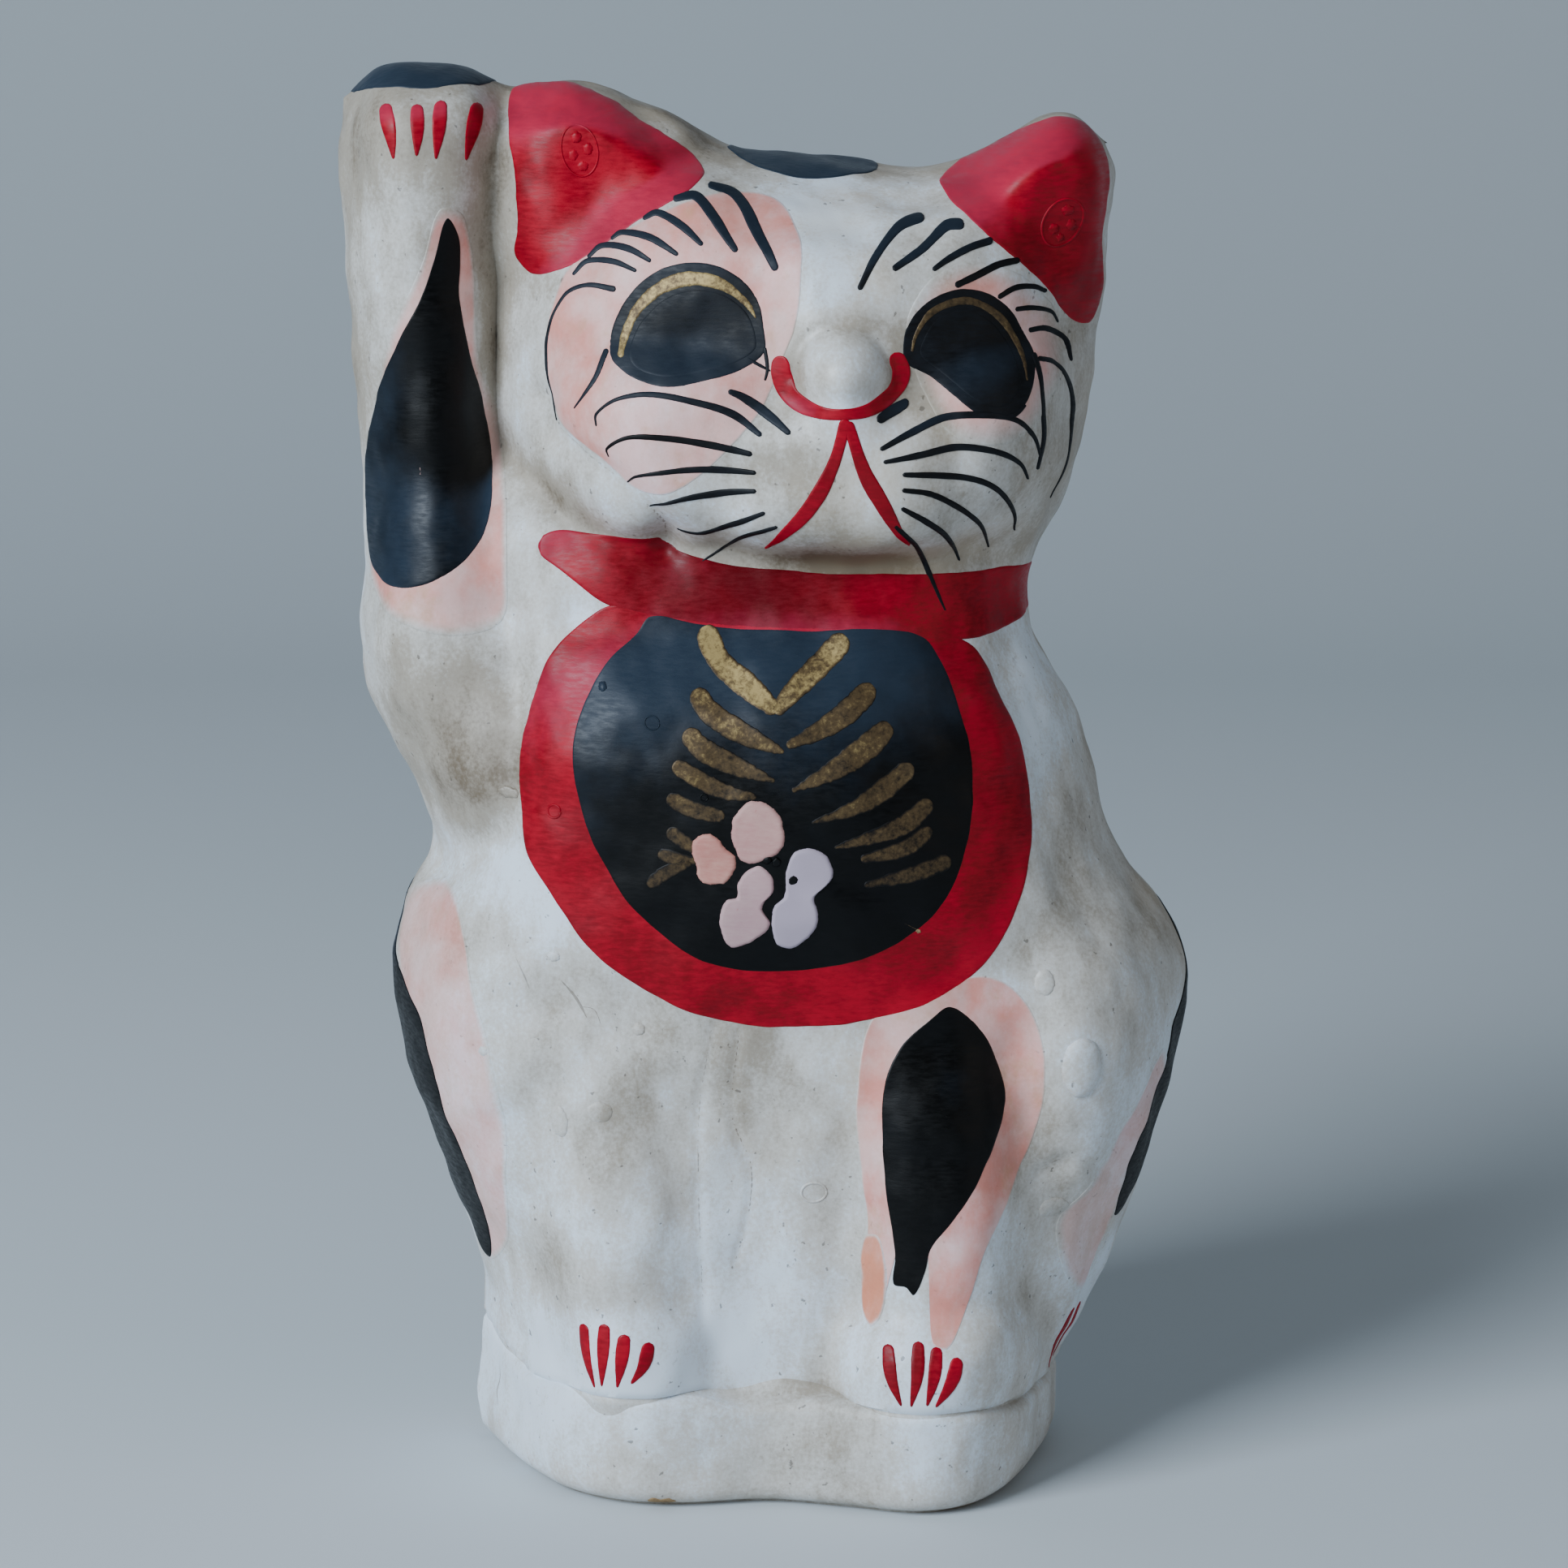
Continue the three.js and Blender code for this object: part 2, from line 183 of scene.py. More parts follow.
def half_depth(x, z, swellings, marks):
    """Depth of one half: a soft maximum of its swellings and the web, plus its small marks."""
    total = np.full(np.shape(x), np.exp(WEB / BLEND))
    for swelling in swellings.values():
        total = total + np.exp(swelling_depth(x, z, *swelling) / BLEND)
    depth = BLEND * np.log(total)
    for middle_x, middle_z, half_width, half_height, rise in marks:
        off = ((x - middle_x) / half_width) ** 2 + ((z - middle_z) / half_height) ** 2
        depth = depth + rise * np.exp(-off)
    return depth


print(len(FRONT_SWELLINGS), "swellings in front and", len(BACK_SWELLINGS), "behind")

# %% [markdown]
# A place on the skin has two numbers. The angle runs round the figure: 0 on its left side as it
# is seen from the front, a quarter turn at the front, half a turn on the other side, and on
# round the back. The height runs from 0 at the shelf to 1 along the top edge.

# %% The skin as a function of angle and height
def edges_at(height):
    """The two side curves at a height, and how far the rows there follow the top edge."""
    follow = np.maximum(0, (height - 0.5) / 0.5) ** 3
    level = height * SHOULDER_HEIGHT
    left = through(LEFT_SIDE, level + follow * (TOP_EDGE[0][1] - SHOULDER_HEIGHT))
    right = through(RIGHT_SIDE, level + follow * (TOP_EDGE[-1][1] - SHOULDER_HEIGHT))
    return left, right, follow


def form(angle, height):
    """Point of the smooth form: x swings from side to side with the cosine of the angle, z is
    the row's height, and y is the depth of that half, rounded off at all its edges."""
    angle, height = np.broadcast_arrays(np.asarray(angle, float), np.asarray(height, float))
    left, right, follow = edges_at(height)
    x = left + (right - left) * (1 - np.cos(angle)) / 2
    top = through(TOP_EDGE, x)
    z = height * SHOULDER_HEIGHT + follow * (top - SHOULDER_HEIGHT)
    front = np.sin(angle) >= 0
    depth = np.where(
        front,
        half_depth(x, z, FRONT_SWELLINGS, FRONT_MARKS),
        half_depth(x, z, BACK_SWELLINGS, BACK_MARKS),
    )
    depth = depth * rounded(x - left, through(LEFT_ROUNDING, z))
    depth = depth * rounded(right - x, through(RIGHT_ROUNDING, z))
    depth = depth * rounded(top - z, through(TOP_ROUNDING, x))
    return np.stack([x, np.where(front, -depth, depth), z], axis=-1)


def outward(angle, height, surface=form):
    """Unit normal of the surface: the cross product of two small steps along it."""
    step = 0.004
    height = np.clip(height, step, 1 - step)
    across = surface(angle + step, height) - surface(angle - step, height)
    up = surface(angle, height + step) - surface(angle, height - step)
    normal = np.cross(across, up)
    return normal / np.maximum(np.linalg.norm(normal, axis=-1, keepdims=True), 1e-9)


def in_front(x, z):
    """Angle and height of the skin's place at x and z of the front view."""
    x, z = np.broadcast_arrays(np.asarray(x, float), np.asarray(z, float))
    rise = through(TOP_EDGE, x) - SHOULDER_HEIGHT
    height = z / SHOULDER_HEIGHT
    for _ in range(12):
        height = (z - rise * np.maximum(0, (height - 0.5) / 0.5) ** 3) / SHOULDER_HEIGHT
    height = np.clip(height, 0, 1)
    left, right, _ = edges_at(height)
    share = np.clip((x - left) / (right - left), 0, 1)
    return np.arccos(1 - 2 * share), height


print("tip of the nose:", np.round(form(*in_front(12.5, 189.5)), 1), "mm")

# %% [markdown]
# ## Relief
#
# Pasted paper is never quite smooth. Slow waves in many directions, laid over each other, give
# the soft dents of the layers, and a few grooves and bumps are put where this figure has them:
# the crease under the jaw, the wrinkles between the forelegs, blisters where the ground lifted.
# Blender could do this with a Displace modifier, but then the paint could not follow it.

# %% Dents, creases and bumps
CHANCE = np.random.default_rng(12)


def waves(count, shortest, longest, size):
    """Slow waves in random directions: (wave vectors, phases, heights)."""
    direction = CHANCE.normal(size=(count, 3))
    direction /= np.linalg.norm(direction, axis=1, keepdims=True)
    length = CHANCE.uniform(shortest, longest, count)
    return 2 * np.pi * direction / length[:, None], CHANCE.uniform(0, 2 * np.pi, count), size


DENTS = [waves(14, 26, 60, 0.2), waves(22, 9, 20, 0.06), waves(30, 3.5, 7, 0.011)]
# Creases of the front half: path of (x, z), half width and depth.
CREASES = [
    ([(-37, 186), (-35, 181), (-30, 177), (-25, 173.5), (-20, 169.5), (-17, 165.5), (-17, 162)], 2.6, 1.6),
    ([(-9, 83), (-11.5, 68), (-11.5, 50), (-11, 33)], 1.0, 0.28),
    ([(-5, 82), (-6, 67), (-3, 58), (-3.5, 49), (-5.5, 42)], 0.8, 0.3),
    ([(-44, 150), (-42, 130), (-46, 113), (-57, 105)], 4.0, 2.4),
    ([(46, 56), (52, 58), (58, 54)], 1.6, 0.6),
    ([(22, 100), (34, 88), (46, 62), (46, 40), (44, 28)], 5.0, 0.9),
    ([(-22, 92), (-34, 76), (-40, 56), (-42, 36)], 6.0, 0.7),
    ([(4.5, 191), (6.5, 196.5), (12, 199), (17.5, 196.5), (20.5, 190)], 1.3, 0.6),
]
# Low bumps of the front half: (x, z, half width, half height, rise).
BUMPS = [
    (-10, 168, 7, 6, 0.5), (33, 165, 7, 6, 0.4), (-57, 176, 7, 9, 0.4), (-24, 44, 9, 12, 0.5),
    (30, 50, 8, 14, 0.6), (-17, 66, 7, 9, -1.1), (12, 40, 6, 12, -0.7), (-31, 60, 7, 8, -1.2),
    (-24, 74, 7, 5, 0.6),
    (-36, 78, 8, 7, 0.6), (-8, 92, 9, 6, 0.5), (-24, 30, 8, 6, 0.6), (30, 28, 9, 7, 0.7),
    (60, 76, 8, 9, 0.5), (-45, 120, 6, 7, 0.5), (12, 191, 5, 5.4, 0.9),
    (-36.5, 21, 7, 8, -2.8),
]


def smooth_path(points, count, closed=False):
    """Points spread along a curve through the given ones, by the share of its length."""
    points = np.array(points, float)
    if closed:
        points = np.concatenate([points[-3:], points, points[:4]])
    run = np.concatenate([[0], np.cumsum(np.linalg.norm(np.diff(points, axis=0), axis=1))])
    start, end = (run[3], run[-4]) if closed else (0, run[-1])
    at = np.linspace(start, end, count)
    return np.stack([through(list(zip(run, points[:, k])), at) for k in range(points.shape[1])], axis=1)


CREASE_LINES = [(smooth_path(path, 40), width, depth) for path, width, depth in CREASES]


def relief(place, angle):
    """Height of the relief: the sum of the waves and, on the front half, less a bell-shaped
    groove round each crease line, and more a bell for each bump."""
    height = np.zeros(place.shape[:-1])
    for vectors, phases, size in DENTS:
        for vector, phase in zip(vectors, phases):
            height += size * np.sin(place @ vector + phase)
    view = place[..., [0, 2]]
    mark = np.zeros(height.shape)
    for line, width, depth in CREASE_LINES:
        nearest = np.min([((view - point) ** 2).sum(-1) for point in line], axis=0)
        mark -= depth * np.exp(-nearest / width**2)
    for x, z, half_width, half_height, rise in BUMPS:
        off = ((view[..., 0] - x) / half_width) ** 2 + ((view[..., 1] - z) / half_height) ** 2
        mark += rise * np.exp(-off)
    return height + mark * np.clip(6 * np.sin(angle), 0, 1)


def on_skin(angle, height, lift=0.0):
    """Point of the finished skin: the form, moved along its normal by the relief and a lift."""
    place = form(angle, height)
    rise = relief(place, angle) + lift
    return place + rise[..., None] * outward(angle, height)


print("tip of the nose:", np.round(on_skin(*in_front(12, 190)), 1), "mm")

# %% [markdown]
# ## From grids to pieces
#
# Every new piece is made the same way: a grid of points for its outer face, the same grid a
# little deeper for its inner face, and a strip of faces round the border that joins the two,
# so each piece is a closed solid as the real layer of paper or paint is.

# %% Closed solids from grids
def closed_sheet(outer, inner):
    """Points and faces of a sheet between two grids of the same size. The border runs once
    round the grid, and each border edge gets one face between the two grids."""
    rows, columns = outer.shape[:2]
    index = np.arange(rows * columns).reshape(rows, columns)
    under = index + rows * columns
    top = np.stack([index[:-1, :-1], index[:-1, 1:], index[1:, 1:], index[1:, :-1]], -1)
    back = np.stack([under[:-1, :-1], under[1:, :-1], under[1:, 1:], under[:-1, 1:]], -1)
    ring = np.concatenate([index[0, :-1], index[:-1, -1], index[-1, :0:-1], index[:0:-1, 0]])
    following = np.roll(ring, -1)
    rim = np.stack([following, ring, ring + rows * columns, following + rows * columns], -1)
    faces = np.concatenate([top.reshape(-1, 4), back.reshape(-1, 4), rim])
    return np.concatenate([outer.reshape(-1, 3), inner.reshape(-1, 3)]), faces


def facing_out(points, faces):
    """The faces, turned round if the solid's signed volume (the sum over the faces of the box
    product of three corners) says that they point inwards."""
    volume = sum((np.cross(points[faces[:, 0]], points[faces[:, k]]) * points[faces[:, k + 1]]).sum()
                 for k in range(1, faces.shape[1] - 1))
    return faces if volume > 0 else faces[:, ::-1]


def make_piece(name, solids, material, sharp_angle=None):
    """One object from solids of (points in mm, faces, {attribute: one value per point}). A
    two-column attribute called stroke becomes a UV map. It rides on the figure's only body."""
    points, faces, count = [], [], 0
    for solid_points, solid_faces, _ in solids:
        faces.append(facing_out(solid_points, solid_faces) + count)
        points.append(solid_points)
        count += len(solid_points)
    points, faces = np.concatenate(points) * MM, np.concatenate(faces)
    mesh = bpy.data.meshes.new(name)
    mesh.vertices.add(len(points))
    mesh.vertices.foreach_set("co", points.astype(np.float32).ravel())
    mesh.loops.add(faces.size)
    mesh.loops.foreach_set("vertex_index", faces.astype(np.int32).ravel())
    mesh.polygons.add(len(faces))
    mesh.polygons.foreach_set("loop_start", np.arange(0, faces.size, faces.shape[1], dtype=np.int32))
    mesh.update(calc_edges=True)
    mesh.validate()
    mesh.polygons.foreach_set("use_smooth", np.ones(len(mesh.polygons), bool))
    for key in solids[0][2]:
        values = np.concatenate([solid[2][key] for solid in solids]).astype(np.float32)
        if key == "stroke":
            mesh.uv_layers.new(name=key).data.foreach_set("uv", values[faces.ravel()].ravel())
        else:
            mesh.attributes.new(key, "FLOAT", "POINT").data.foreach_set("value", values)
    if sharp_angle:
        mesh.set_sharp_from_angle(angle=np.radians(sharp_angle))
    mesh.materials.append(material)
    obj = bpy.data.objects.new(name, mesh)
    bpy.context.scene.collection.objects.link(obj)
    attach(obj, "root")
    print(name, "-", len(solids), "solid(s),", len(mesh.polygons), "faces")
    return obj


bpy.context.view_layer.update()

# %% [markdown]
# ## Finishes
#
# Each finish is a Principled BSDF fed by noise. What more than one finish needs is built once
# as a node group: the chalky ground with its grime and painted shade, and the streaks and specks
# of a brushed coat. The groups read Object coordinates, so a film of pink lets the same ground
# show at its thin edge as the shell beside it.

# %% Node helpers
def add_node(tree, kind, inputs=None, **settings):
    """A node with its settings and its inputs: a value, or an output socket to link."""
    node = tree.nodes.new(kind)
    for key, value in settings.items():
        setattr(node, key, value)
    for key, value in (inputs or {}).items():
        if isinstance(value, bpy.types.NodeSocket):
            tree.links.new(value, node.inputs[key])
        else:
            node.inputs[key].default_value = value
    return node


def new_group(name, inputs, outputs):
    """An empty shader node group with named sockets: {name: (socket type, default)}."""
    tree = bpy.data.node_groups.new(name, "ShaderNodeTree")
    for key, (kind, default) in inputs.items():
        socket = tree.interface.new_socket(key, in_out="INPUT", socket_type=kind)
        socket.default_value = default
    for key, kind in outputs.items():
        tree.interface.new_socket(key, in_out="OUTPUT", socket_type=kind)
    return tree, tree.nodes.new("NodeGroupInput").outputs, tree.nodes.new("NodeGroupOutput").inputs


def noise(tree, scale, detail=4.0, stretch=(1, 1, 1), roughness=0.55, offset=0.0):
    """Noise over the object, in waves per metre, stretched along the axes."""
    place = add_node(tree, "ShaderNodeTexCoord").outputs["Object"]
    moved = add_node(tree, "ShaderNodeMapping", {
        "Vector": place, "Location": (offset, offset, offset), "Scale": stretch})
    return add_node(tree, "ShaderNodeTexNoise", {
        "Vector": moved.outputs["Vector"], "Scale": scale, "Detail": detail,
        "Roughness": roughness}).outputs["Fac"]


def band(tree, value, low, high, to_low=0.0, to_high=1.0):
    """A value mapped smoothly from one range to another, and kept inside it."""
    return add_node(tree, "ShaderNodeMapRange", {
        "Value": value, "From Min": low, "From Max": high, "To Min": to_low, "To Max": to_high,
    }, interpolation_type="SMOOTHSTEP").outputs["Result"]


def maths(tree, operation, a, b=0.0):
    return add_node(tree, "ShaderNodeMath", {0: a, 1: b}, operation=operation).outputs[0]


def blend(tree, share, a, b, mode="MIX"):
    """Colour mix of a and b."""
    mix = add_node(tree, "ShaderNodeMix", data_type="RGBA", blend_type=mode)
    for key, value in ((0, share), (6, a), (7, b)):
        if isinstance(value, bpy.types.NodeSocket):
            tree.links.new(value, mix.inputs[key])
        else:
            mix.inputs[key].default_value = value
    return mix.outputs[2]


def attribute(tree, name):
    return add_node(tree, "ShaderNodeAttribute", attribute_name=name).outputs["Fac"]


def srgb(red, green, blue):
    """A colour given as seen on a screen, 0 to 255, as the light values that Blender mixes."""
    parts = np.array([red, green, blue]) / 255
    linear = np.where(parts <= 0.04045, parts / 12.92, ((parts + 0.055) / 1.055) ** 2.4)
    return (*[float(v) for v in linear], 1.0)


print("a mid grey as light:", [round(v, 3) for v in srgb(128, 128, 128)[:3]])

# %% [markdown]
# The ground is ground shell in animal glue. It is off-white, and smoked and handled to a
# patchy grey-beige with pin-prick specks. It is painted darker towards the top, and darker in
# the hollows as painted shade.

# %% The chalk ground, as a node group
def chalk_ground():
    """Colour and height of the white ground. One attribute of every piece, from 0 to 1, holds
    its grime and painted shade; mottling in three sizes breaks it up, and stains, specks and
    pits lie over it."""
    tree, _, out = new_group("chalk ground", {}, {"Colour": "NodeSocketColor", "Height": "NodeSocketFloat"})
    grime_and_shade_share = attribute(tree, "grime")
    clouds = noise(tree, 34, 5, (1, 1, 0.6))
    smudges = noise(tree, 130, 6, (1, 1, 0.55), 0.68, 3.0)
    grain = noise(tree, 1500, 3, (1, 1, 1), 0.6, 7.0)
    for texture, strength in ((clouds, 1.5), (smudges, 1.25), (grain, 0.6)):
        share = maths(tree, "MULTIPLY", maths(tree, "SUBTRACT", texture, 0.5), strength)
        grime_and_shade_share = maths(tree, "ADD", grime_and_shade_share, share)
    # Darker tones where the attribute is high: grime, and painted shade in the hollows and the listed
    # spots.
    colour = blend(tree, band(tree, grime_and_shade_share, -0.1, 0.4), srgb(219, 230, 241), srgb(196, 193, 188))
    colour = blend(tree, band(tree, grime_and_shade_share, 0.3, 0.8), colour, srgb(158, 149, 136))
    colour = blend(tree, band(tree, grime_and_shade_share, 0.75, 1.35), colour, srgb(104, 90, 72))
    warm = band(tree, noise(tree, 24, 3, (1, 1, 1), 0.5, 11.0), 0.54, 0.74, 0.0, 0.3)
    colour = blend(tree, warm, colour, srgb(202, 178, 142))
    flecks = band(tree, noise(tree, 420, 4, (1, 1, 0.8), 0.7, 17.0), 0.64, 0.74, 0.0, 0.35)
    colour = blend(tree, flecks, colour, srgb(120, 106, 88))
    specks = band(tree, noise(tree, 700, 2, (1, 1, 1), 0.5, 5.0), 0.70, 0.75, 0.0, 0.6)
    colour = blend(tree, specks, colour, srgb(70, 60, 50))
    brushing = noise(tree, 420, 3, (1, 1, 0.12), 0.5, 2.0)
    height = maths(tree, "ADD", maths(tree, "MULTIPLY", grain, 0.35),
                   maths(tree, "MULTIPLY", brushing, 0.5))
    height = maths(tree, "ADD", height, maths(tree, "MULTIPLY", smudges, 0.8))
    tree.links.new(colour, out["Colour"])
    tree.links.new(height, out["Height"])
    return tree


def coat_texture():
    """Streaks and wear of a brushed coat: a streak value along the stroke's own direction, a
    mask of rubbed places, and a height."""
    tree, inside, out = new_group(
        "brushed coat",
        {"Wear": ("NodeSocketFloat", 0.3), "Streak length": ("NodeSocketFloat", 0.15)},
        {"Streaks": "NodeSocketFloat", "Worn": "NodeSocketFloat", "Height": "NodeSocketFloat"},
    )
    along = add_node(tree, "ShaderNodeUVMap", uv_map="stroke").outputs["UV"]
    stretch = add_node(tree, "ShaderNodeCombineXYZ", {"X": inside["Streak length"], "Y": 1.0, "Z": 1.0})
    scaled = add_node(tree, "ShaderNodeVectorMath", {0: along, 1: stretch.outputs[0]}, operation="MULTIPLY")
    streaks = add_node(tree, "ShaderNodeTexNoise", {
        "Vector": scaled.outputs[0], "Scale": 1.6, "Detail": 5.0, "Roughness": 0.6}).outputs["Fac"]
    patches = noise(tree, 120, 6, (1, 1, 1), 0.7, 4.0)
    grain = noise(tree, 1300, 3, (1, 1, 1), 0.6, 9.0)
    rub = maths(tree, "ADD", maths(tree, "MULTIPLY", patches, 0.6), maths(tree, "MULTIPLY", grain, 0.4))
    edge = maths(tree, "SUBTRACT", 0.78, maths(tree, "MULTIPLY", inside["Wear"], 0.45))
    worn = maths(tree, "SMOOTH_MIN", maths(tree, "MAXIMUM", maths(
        tree, "MULTIPLY", maths(tree, "SUBTRACT", rub, edge), 9.0), 0.0), 1.0)
    height = maths(tree, "ADD", streaks, maths(tree, "MULTIPLY", grain, 0.25))
    tree.links.new(streaks, out["Streaks"])
    tree.links.new(worn, out["Worn"])
    tree.links.new(height, out["Height"])
    return tree


CHALK, COAT = chalk_ground(), coat_texture()
PAINT_SPECULAR = 0.18  # paint bound with glue reflects a little less than glass does
print("node groups:", [group.name for group in bpy.data.node_groups])

# %% [markdown]
# ## Materials
#
# The real finishes are few: the ground, brush paint in four colours, rubbed gold, thin washes, and
# bare paper, card and clay. Each kind is one function here, because crimson and black are the same
# paint with other pigments. The shader itself stays in each material, and only the values that vary
# come out of the node groups.

# %% Materials from the groups
def new_material(name, roughness, **shader_values):
    """A material and its Principled BSDF, with the values that are the same all over."""
    material = bpy.data.materials.new(name)
    material.use_nodes = True
    shader = material.node_tree.nodes["Principled BSDF"]
    shader.inputs["Roughness"].default_value = roughness
    for key, value in shader_values.items():
        shader.inputs[key.replace("_", " ")].default_value = value
    return material, material.node_tree, shader


def bump(tree, shader, height, distance, strength=1.0):
    node = add_node(tree, "ShaderNodeBump", {
        "Height": height, "Distance": distance * MM, "Strength": strength})
    tree.links.new(node.outputs["Normal"], shader.inputs["Normal"])


def use_group(tree, group, **inputs):
    node = tree.nodes.new("ShaderNodeGroup")
    node.node_tree = group
    for key, value in inputs.items():
        node.inputs[key.replace("_", " ")].default_value = value
    return node.outputs


def ground_material():
    """White ground: the chalk group as it is, with a satin shine that varies in patches."""
    material, tree, shader = new_material("white ground", 0.5)
    chalk = use_group(tree, CHALK)
    tree.links.new(chalk["Colour"], shader.inputs["Base Color"])
    gloss = band(tree, noise(tree, 60, 4, (1, 1, 1), 0.6, 1.0), 0.3, 0.7, 0.38, 0.6)
    tree.links.new(gloss, shader.inputs["Roughness"])
    bump(tree, shader, chalk["Height"], 0.06)
    return material


def paint_material(name, deep, light, rubbed, wear, roughness, relief_height=0.03, other=None,
                   painted_sheen_tone=None):
    """Brush paint: the deep and the light tone mixed by the streaks, and rubbed where worn. It
    turns to the other tone, if there is one, where the attribute cover is low. The last argument
    is (colour, least value, greatest share): a haze painted where the paint faces up and to the
    left, towards the lamp, and higher up the figure, which is a painted sheen of the light."""
    material, tree, shader = new_material(name, roughness, Specular_IOR_Level=PAINT_SPECULAR)
    coat = use_group(tree, COAT, Wear=wear, Streak_length=0.3)
    tone = maths(tree, "ADD", maths(tree, "MULTIPLY", coat["Streaks"], 0.35), maths(
        tree, "MULTIPLY", noise(tree, 60, 6, (1, 1, 1), 0.65, 6.0), 0.75))
    colour = blend(tree, band(tree, tone, 0.4, 0.72), deep, light)
    if other:
        colour = blend(tree, attribute(tree, "cover"), other, colour)
    if painted_sheen_tone:
        # Painted sheen: a haze colour laid on where the attribute says the paint faces the lamp.
        sheen_colour, least, most = painted_sheen_tone
        patchy = maths(tree, "ADD", attribute(tree, "dust"), maths(
            tree, "MULTIPLY", maths(tree, "SUBTRACT", noise(tree, 90, 5, (1, 1, 1), 0.6, 21.0), 0.5), 0.9))
        colour = blend(tree, band(tree, patchy, least, 1.0, 0.0, most), colour, sheen_colour)
    colour = blend(tree, coat["Worn"], colour, rubbed)
    tree.links.new(colour, shader.inputs["Base Color"])
    gloss = band(tree, coat["Streaks"], 0.3, 0.7, roughness - 0.08, roughness + 0.1)
    tree.links.new(gloss, shader.inputs["Roughness"])
    bump(tree, shader, coat["Height"], relief_height)
    return material


def gold_material(name, bright, dull, under):
    """Gold rubbed down to the black under it. The less the cover, the thinner and duller it is,
    in fine specks, and its border is soft."""
    material, tree, shader = new_material(name, 0.46, Specular_IOR_Level=PAINT_SPECULAR)
    coat = use_group(tree, COAT, Wear=0.5, Streak_length=0.3)
    cover = attribute(tree, "cover")
    specks = maths(tree, "MULTIPLY", maths(tree, "SUBTRACT", noise(tree, 1100, 5, (1, 1, 1), 0.7, 14.0),
                                           0.5), 2.2)
    clouds = maths(tree, "MULTIPLY", maths(tree, "SUBTRACT", noise(tree, 160, 4, (1, 1, 1), 0.6, 19.0),
                                           0.5), 1.2)
    left = maths(tree, "ADD", maths(tree, "ADD", cover, specks), clouds)
    gilt = blend(tree, band(tree, left, 0.5, 1.3), dull, bright)
    keep = maths(tree, "MULTIPLY", band(tree, left, -0.35, 0.75), band(tree, cover, 0.0, 0.25, 0.0, 0.9))
    tree.links.new(blend(tree, keep, under, gilt), shader.inputs["Base Color"])
    tree.links.new(maths(tree, "MULTIPLY", keep, 0.3), shader.inputs["Metallic"])
    bump(tree, shader, coat["Height"], 0.03)
    return material


def wash_material(name, tint, deep, stained):
    """A thin wash: it covers the ground by the attribute cover, thinner where streaky, and has
    browned in places."""
    material, tree, shader = new_material(name, 0.5)
    chalk = use_group(tree, CHALK)
    cover = maths(tree, "MULTIPLY", attribute(tree, "cover"), band(
        tree, noise(tree, 240, 5, (1, 1, 0.5), 0.65, 8.0), 0.2, 0.6, 0.72, 1.0))
    pigment = blend(tree, band(tree, noise(tree, 60, 5, (1, 1, 1), 0.6, 12.0), 0.38, 0.66), tint, deep)
    pigment = blend(tree, band(tree, noise(tree, 110, 5, (1, 1, 1), 0.65, 23.0), 0.54, 0.72, 0.0, 0.6),
                    pigment, stained)
    tinted = blend(tree, 0.42, pigment, blend(tree, 1.0, pigment, chalk["Colour"], "MULTIPLY"))
    tree.links.new(blend(tree, cover, chalk["Colour"], tinted), shader.inputs["Base Color"])
    bump(tree, shader, chalk["Height"], 0.06)
    return material


def plain_material(name, pale, dark, scale, roughness, depth):
    """Paper, card or clay: two tones and a bump from one noise."""
    material, tree, shader = new_material(name, roughness)
    grain = noise(tree, scale, 6, (1, 1, 1), 0.65, 15.0)
    tree.links.new(blend(tree, band(tree, grain, 0.35, 0.65), dark, pale), shader.inputs["Base Color"])
    bump(tree, shader, grain, depth)
    return material


WHITE = ground_material()
# The last argument of the crimson, the black and the line black is a painted sheen: a haze painted on
# towards the lamp.
RED = paint_material("crimson paint", srgb(118, 0, 18), srgb(170, 0, 34), srgb(180, 30, 62), 0.2, 0.4,
                     # The crimson's dark other tone is painted shadow, where the collar passes under the
                     # chin.
                     other=srgb(72, 0, 8), painted_sheen_tone=(srgb(196, 58, 90), 0.45, 0.4))
BLACK = paint_material("black paint", srgb(1, 1, 1), srgb(3, 4, 6), srgb(26, 30, 36), 0.06, 0.4,
                       painted_sheen_tone=(srgb(46, 60, 76), 0.1, 0.6))
INK = paint_material("black line paint", srgb(3, 3, 4), srgb(18, 22, 28), srgb(70, 72, 74), 0.16, 0.5,
                     painted_sheen_tone=(srgb(40, 52, 66), 0.2, 0.45))
GOLD = gold_material("worn gold paint", srgb(176, 152, 100), srgb(92, 74, 50), srgb(5, 6, 9))
PINK = wash_material("pink wash", srgb(246, 200, 194), srgb(236, 152, 138), srgb(214, 160, 122))
PEACH = wash_material("peach drip", srgb(236, 148, 116), srgb(226, 132, 100), srgb(214, 130, 92))
STAIN = wash_material("old stain", srgb(128, 112, 92), srgb(92, 78, 64), srgb(110, 92, 66))
PETAL = paint_material("plum blossom paint", srgb(186, 124, 114), srgb(202, 156, 142), srgb(172, 84, 90),
                       0.34, 0.5,
                       other=srgb(166, 158, 174))
PAPER = plain_material("pasted paper", srgb(196, 184, 158), srgb(160, 146, 118), 400, 0.85, 0.05)
CARD = plain_material("grey card", srgb(168, 138, 98), srgb(120, 96, 66), 900, 0.9, 0.08)
CLAY = plain_material("raw clay", srgb(140, 106, 78), srgb(104, 76, 54), 250, 0.9, 0.3)
print("materials:", [m.name for m in bpy.data.materials])

# %% [markdown]
# ## The two shells
#
# Each half is a sheet 2.2 mm thick. Its outer face is fine enough for the dents; nobody sees
# the inner one, so it has few points, and the rim is stitched between the two.

# %% The shells
WALL = 2.2
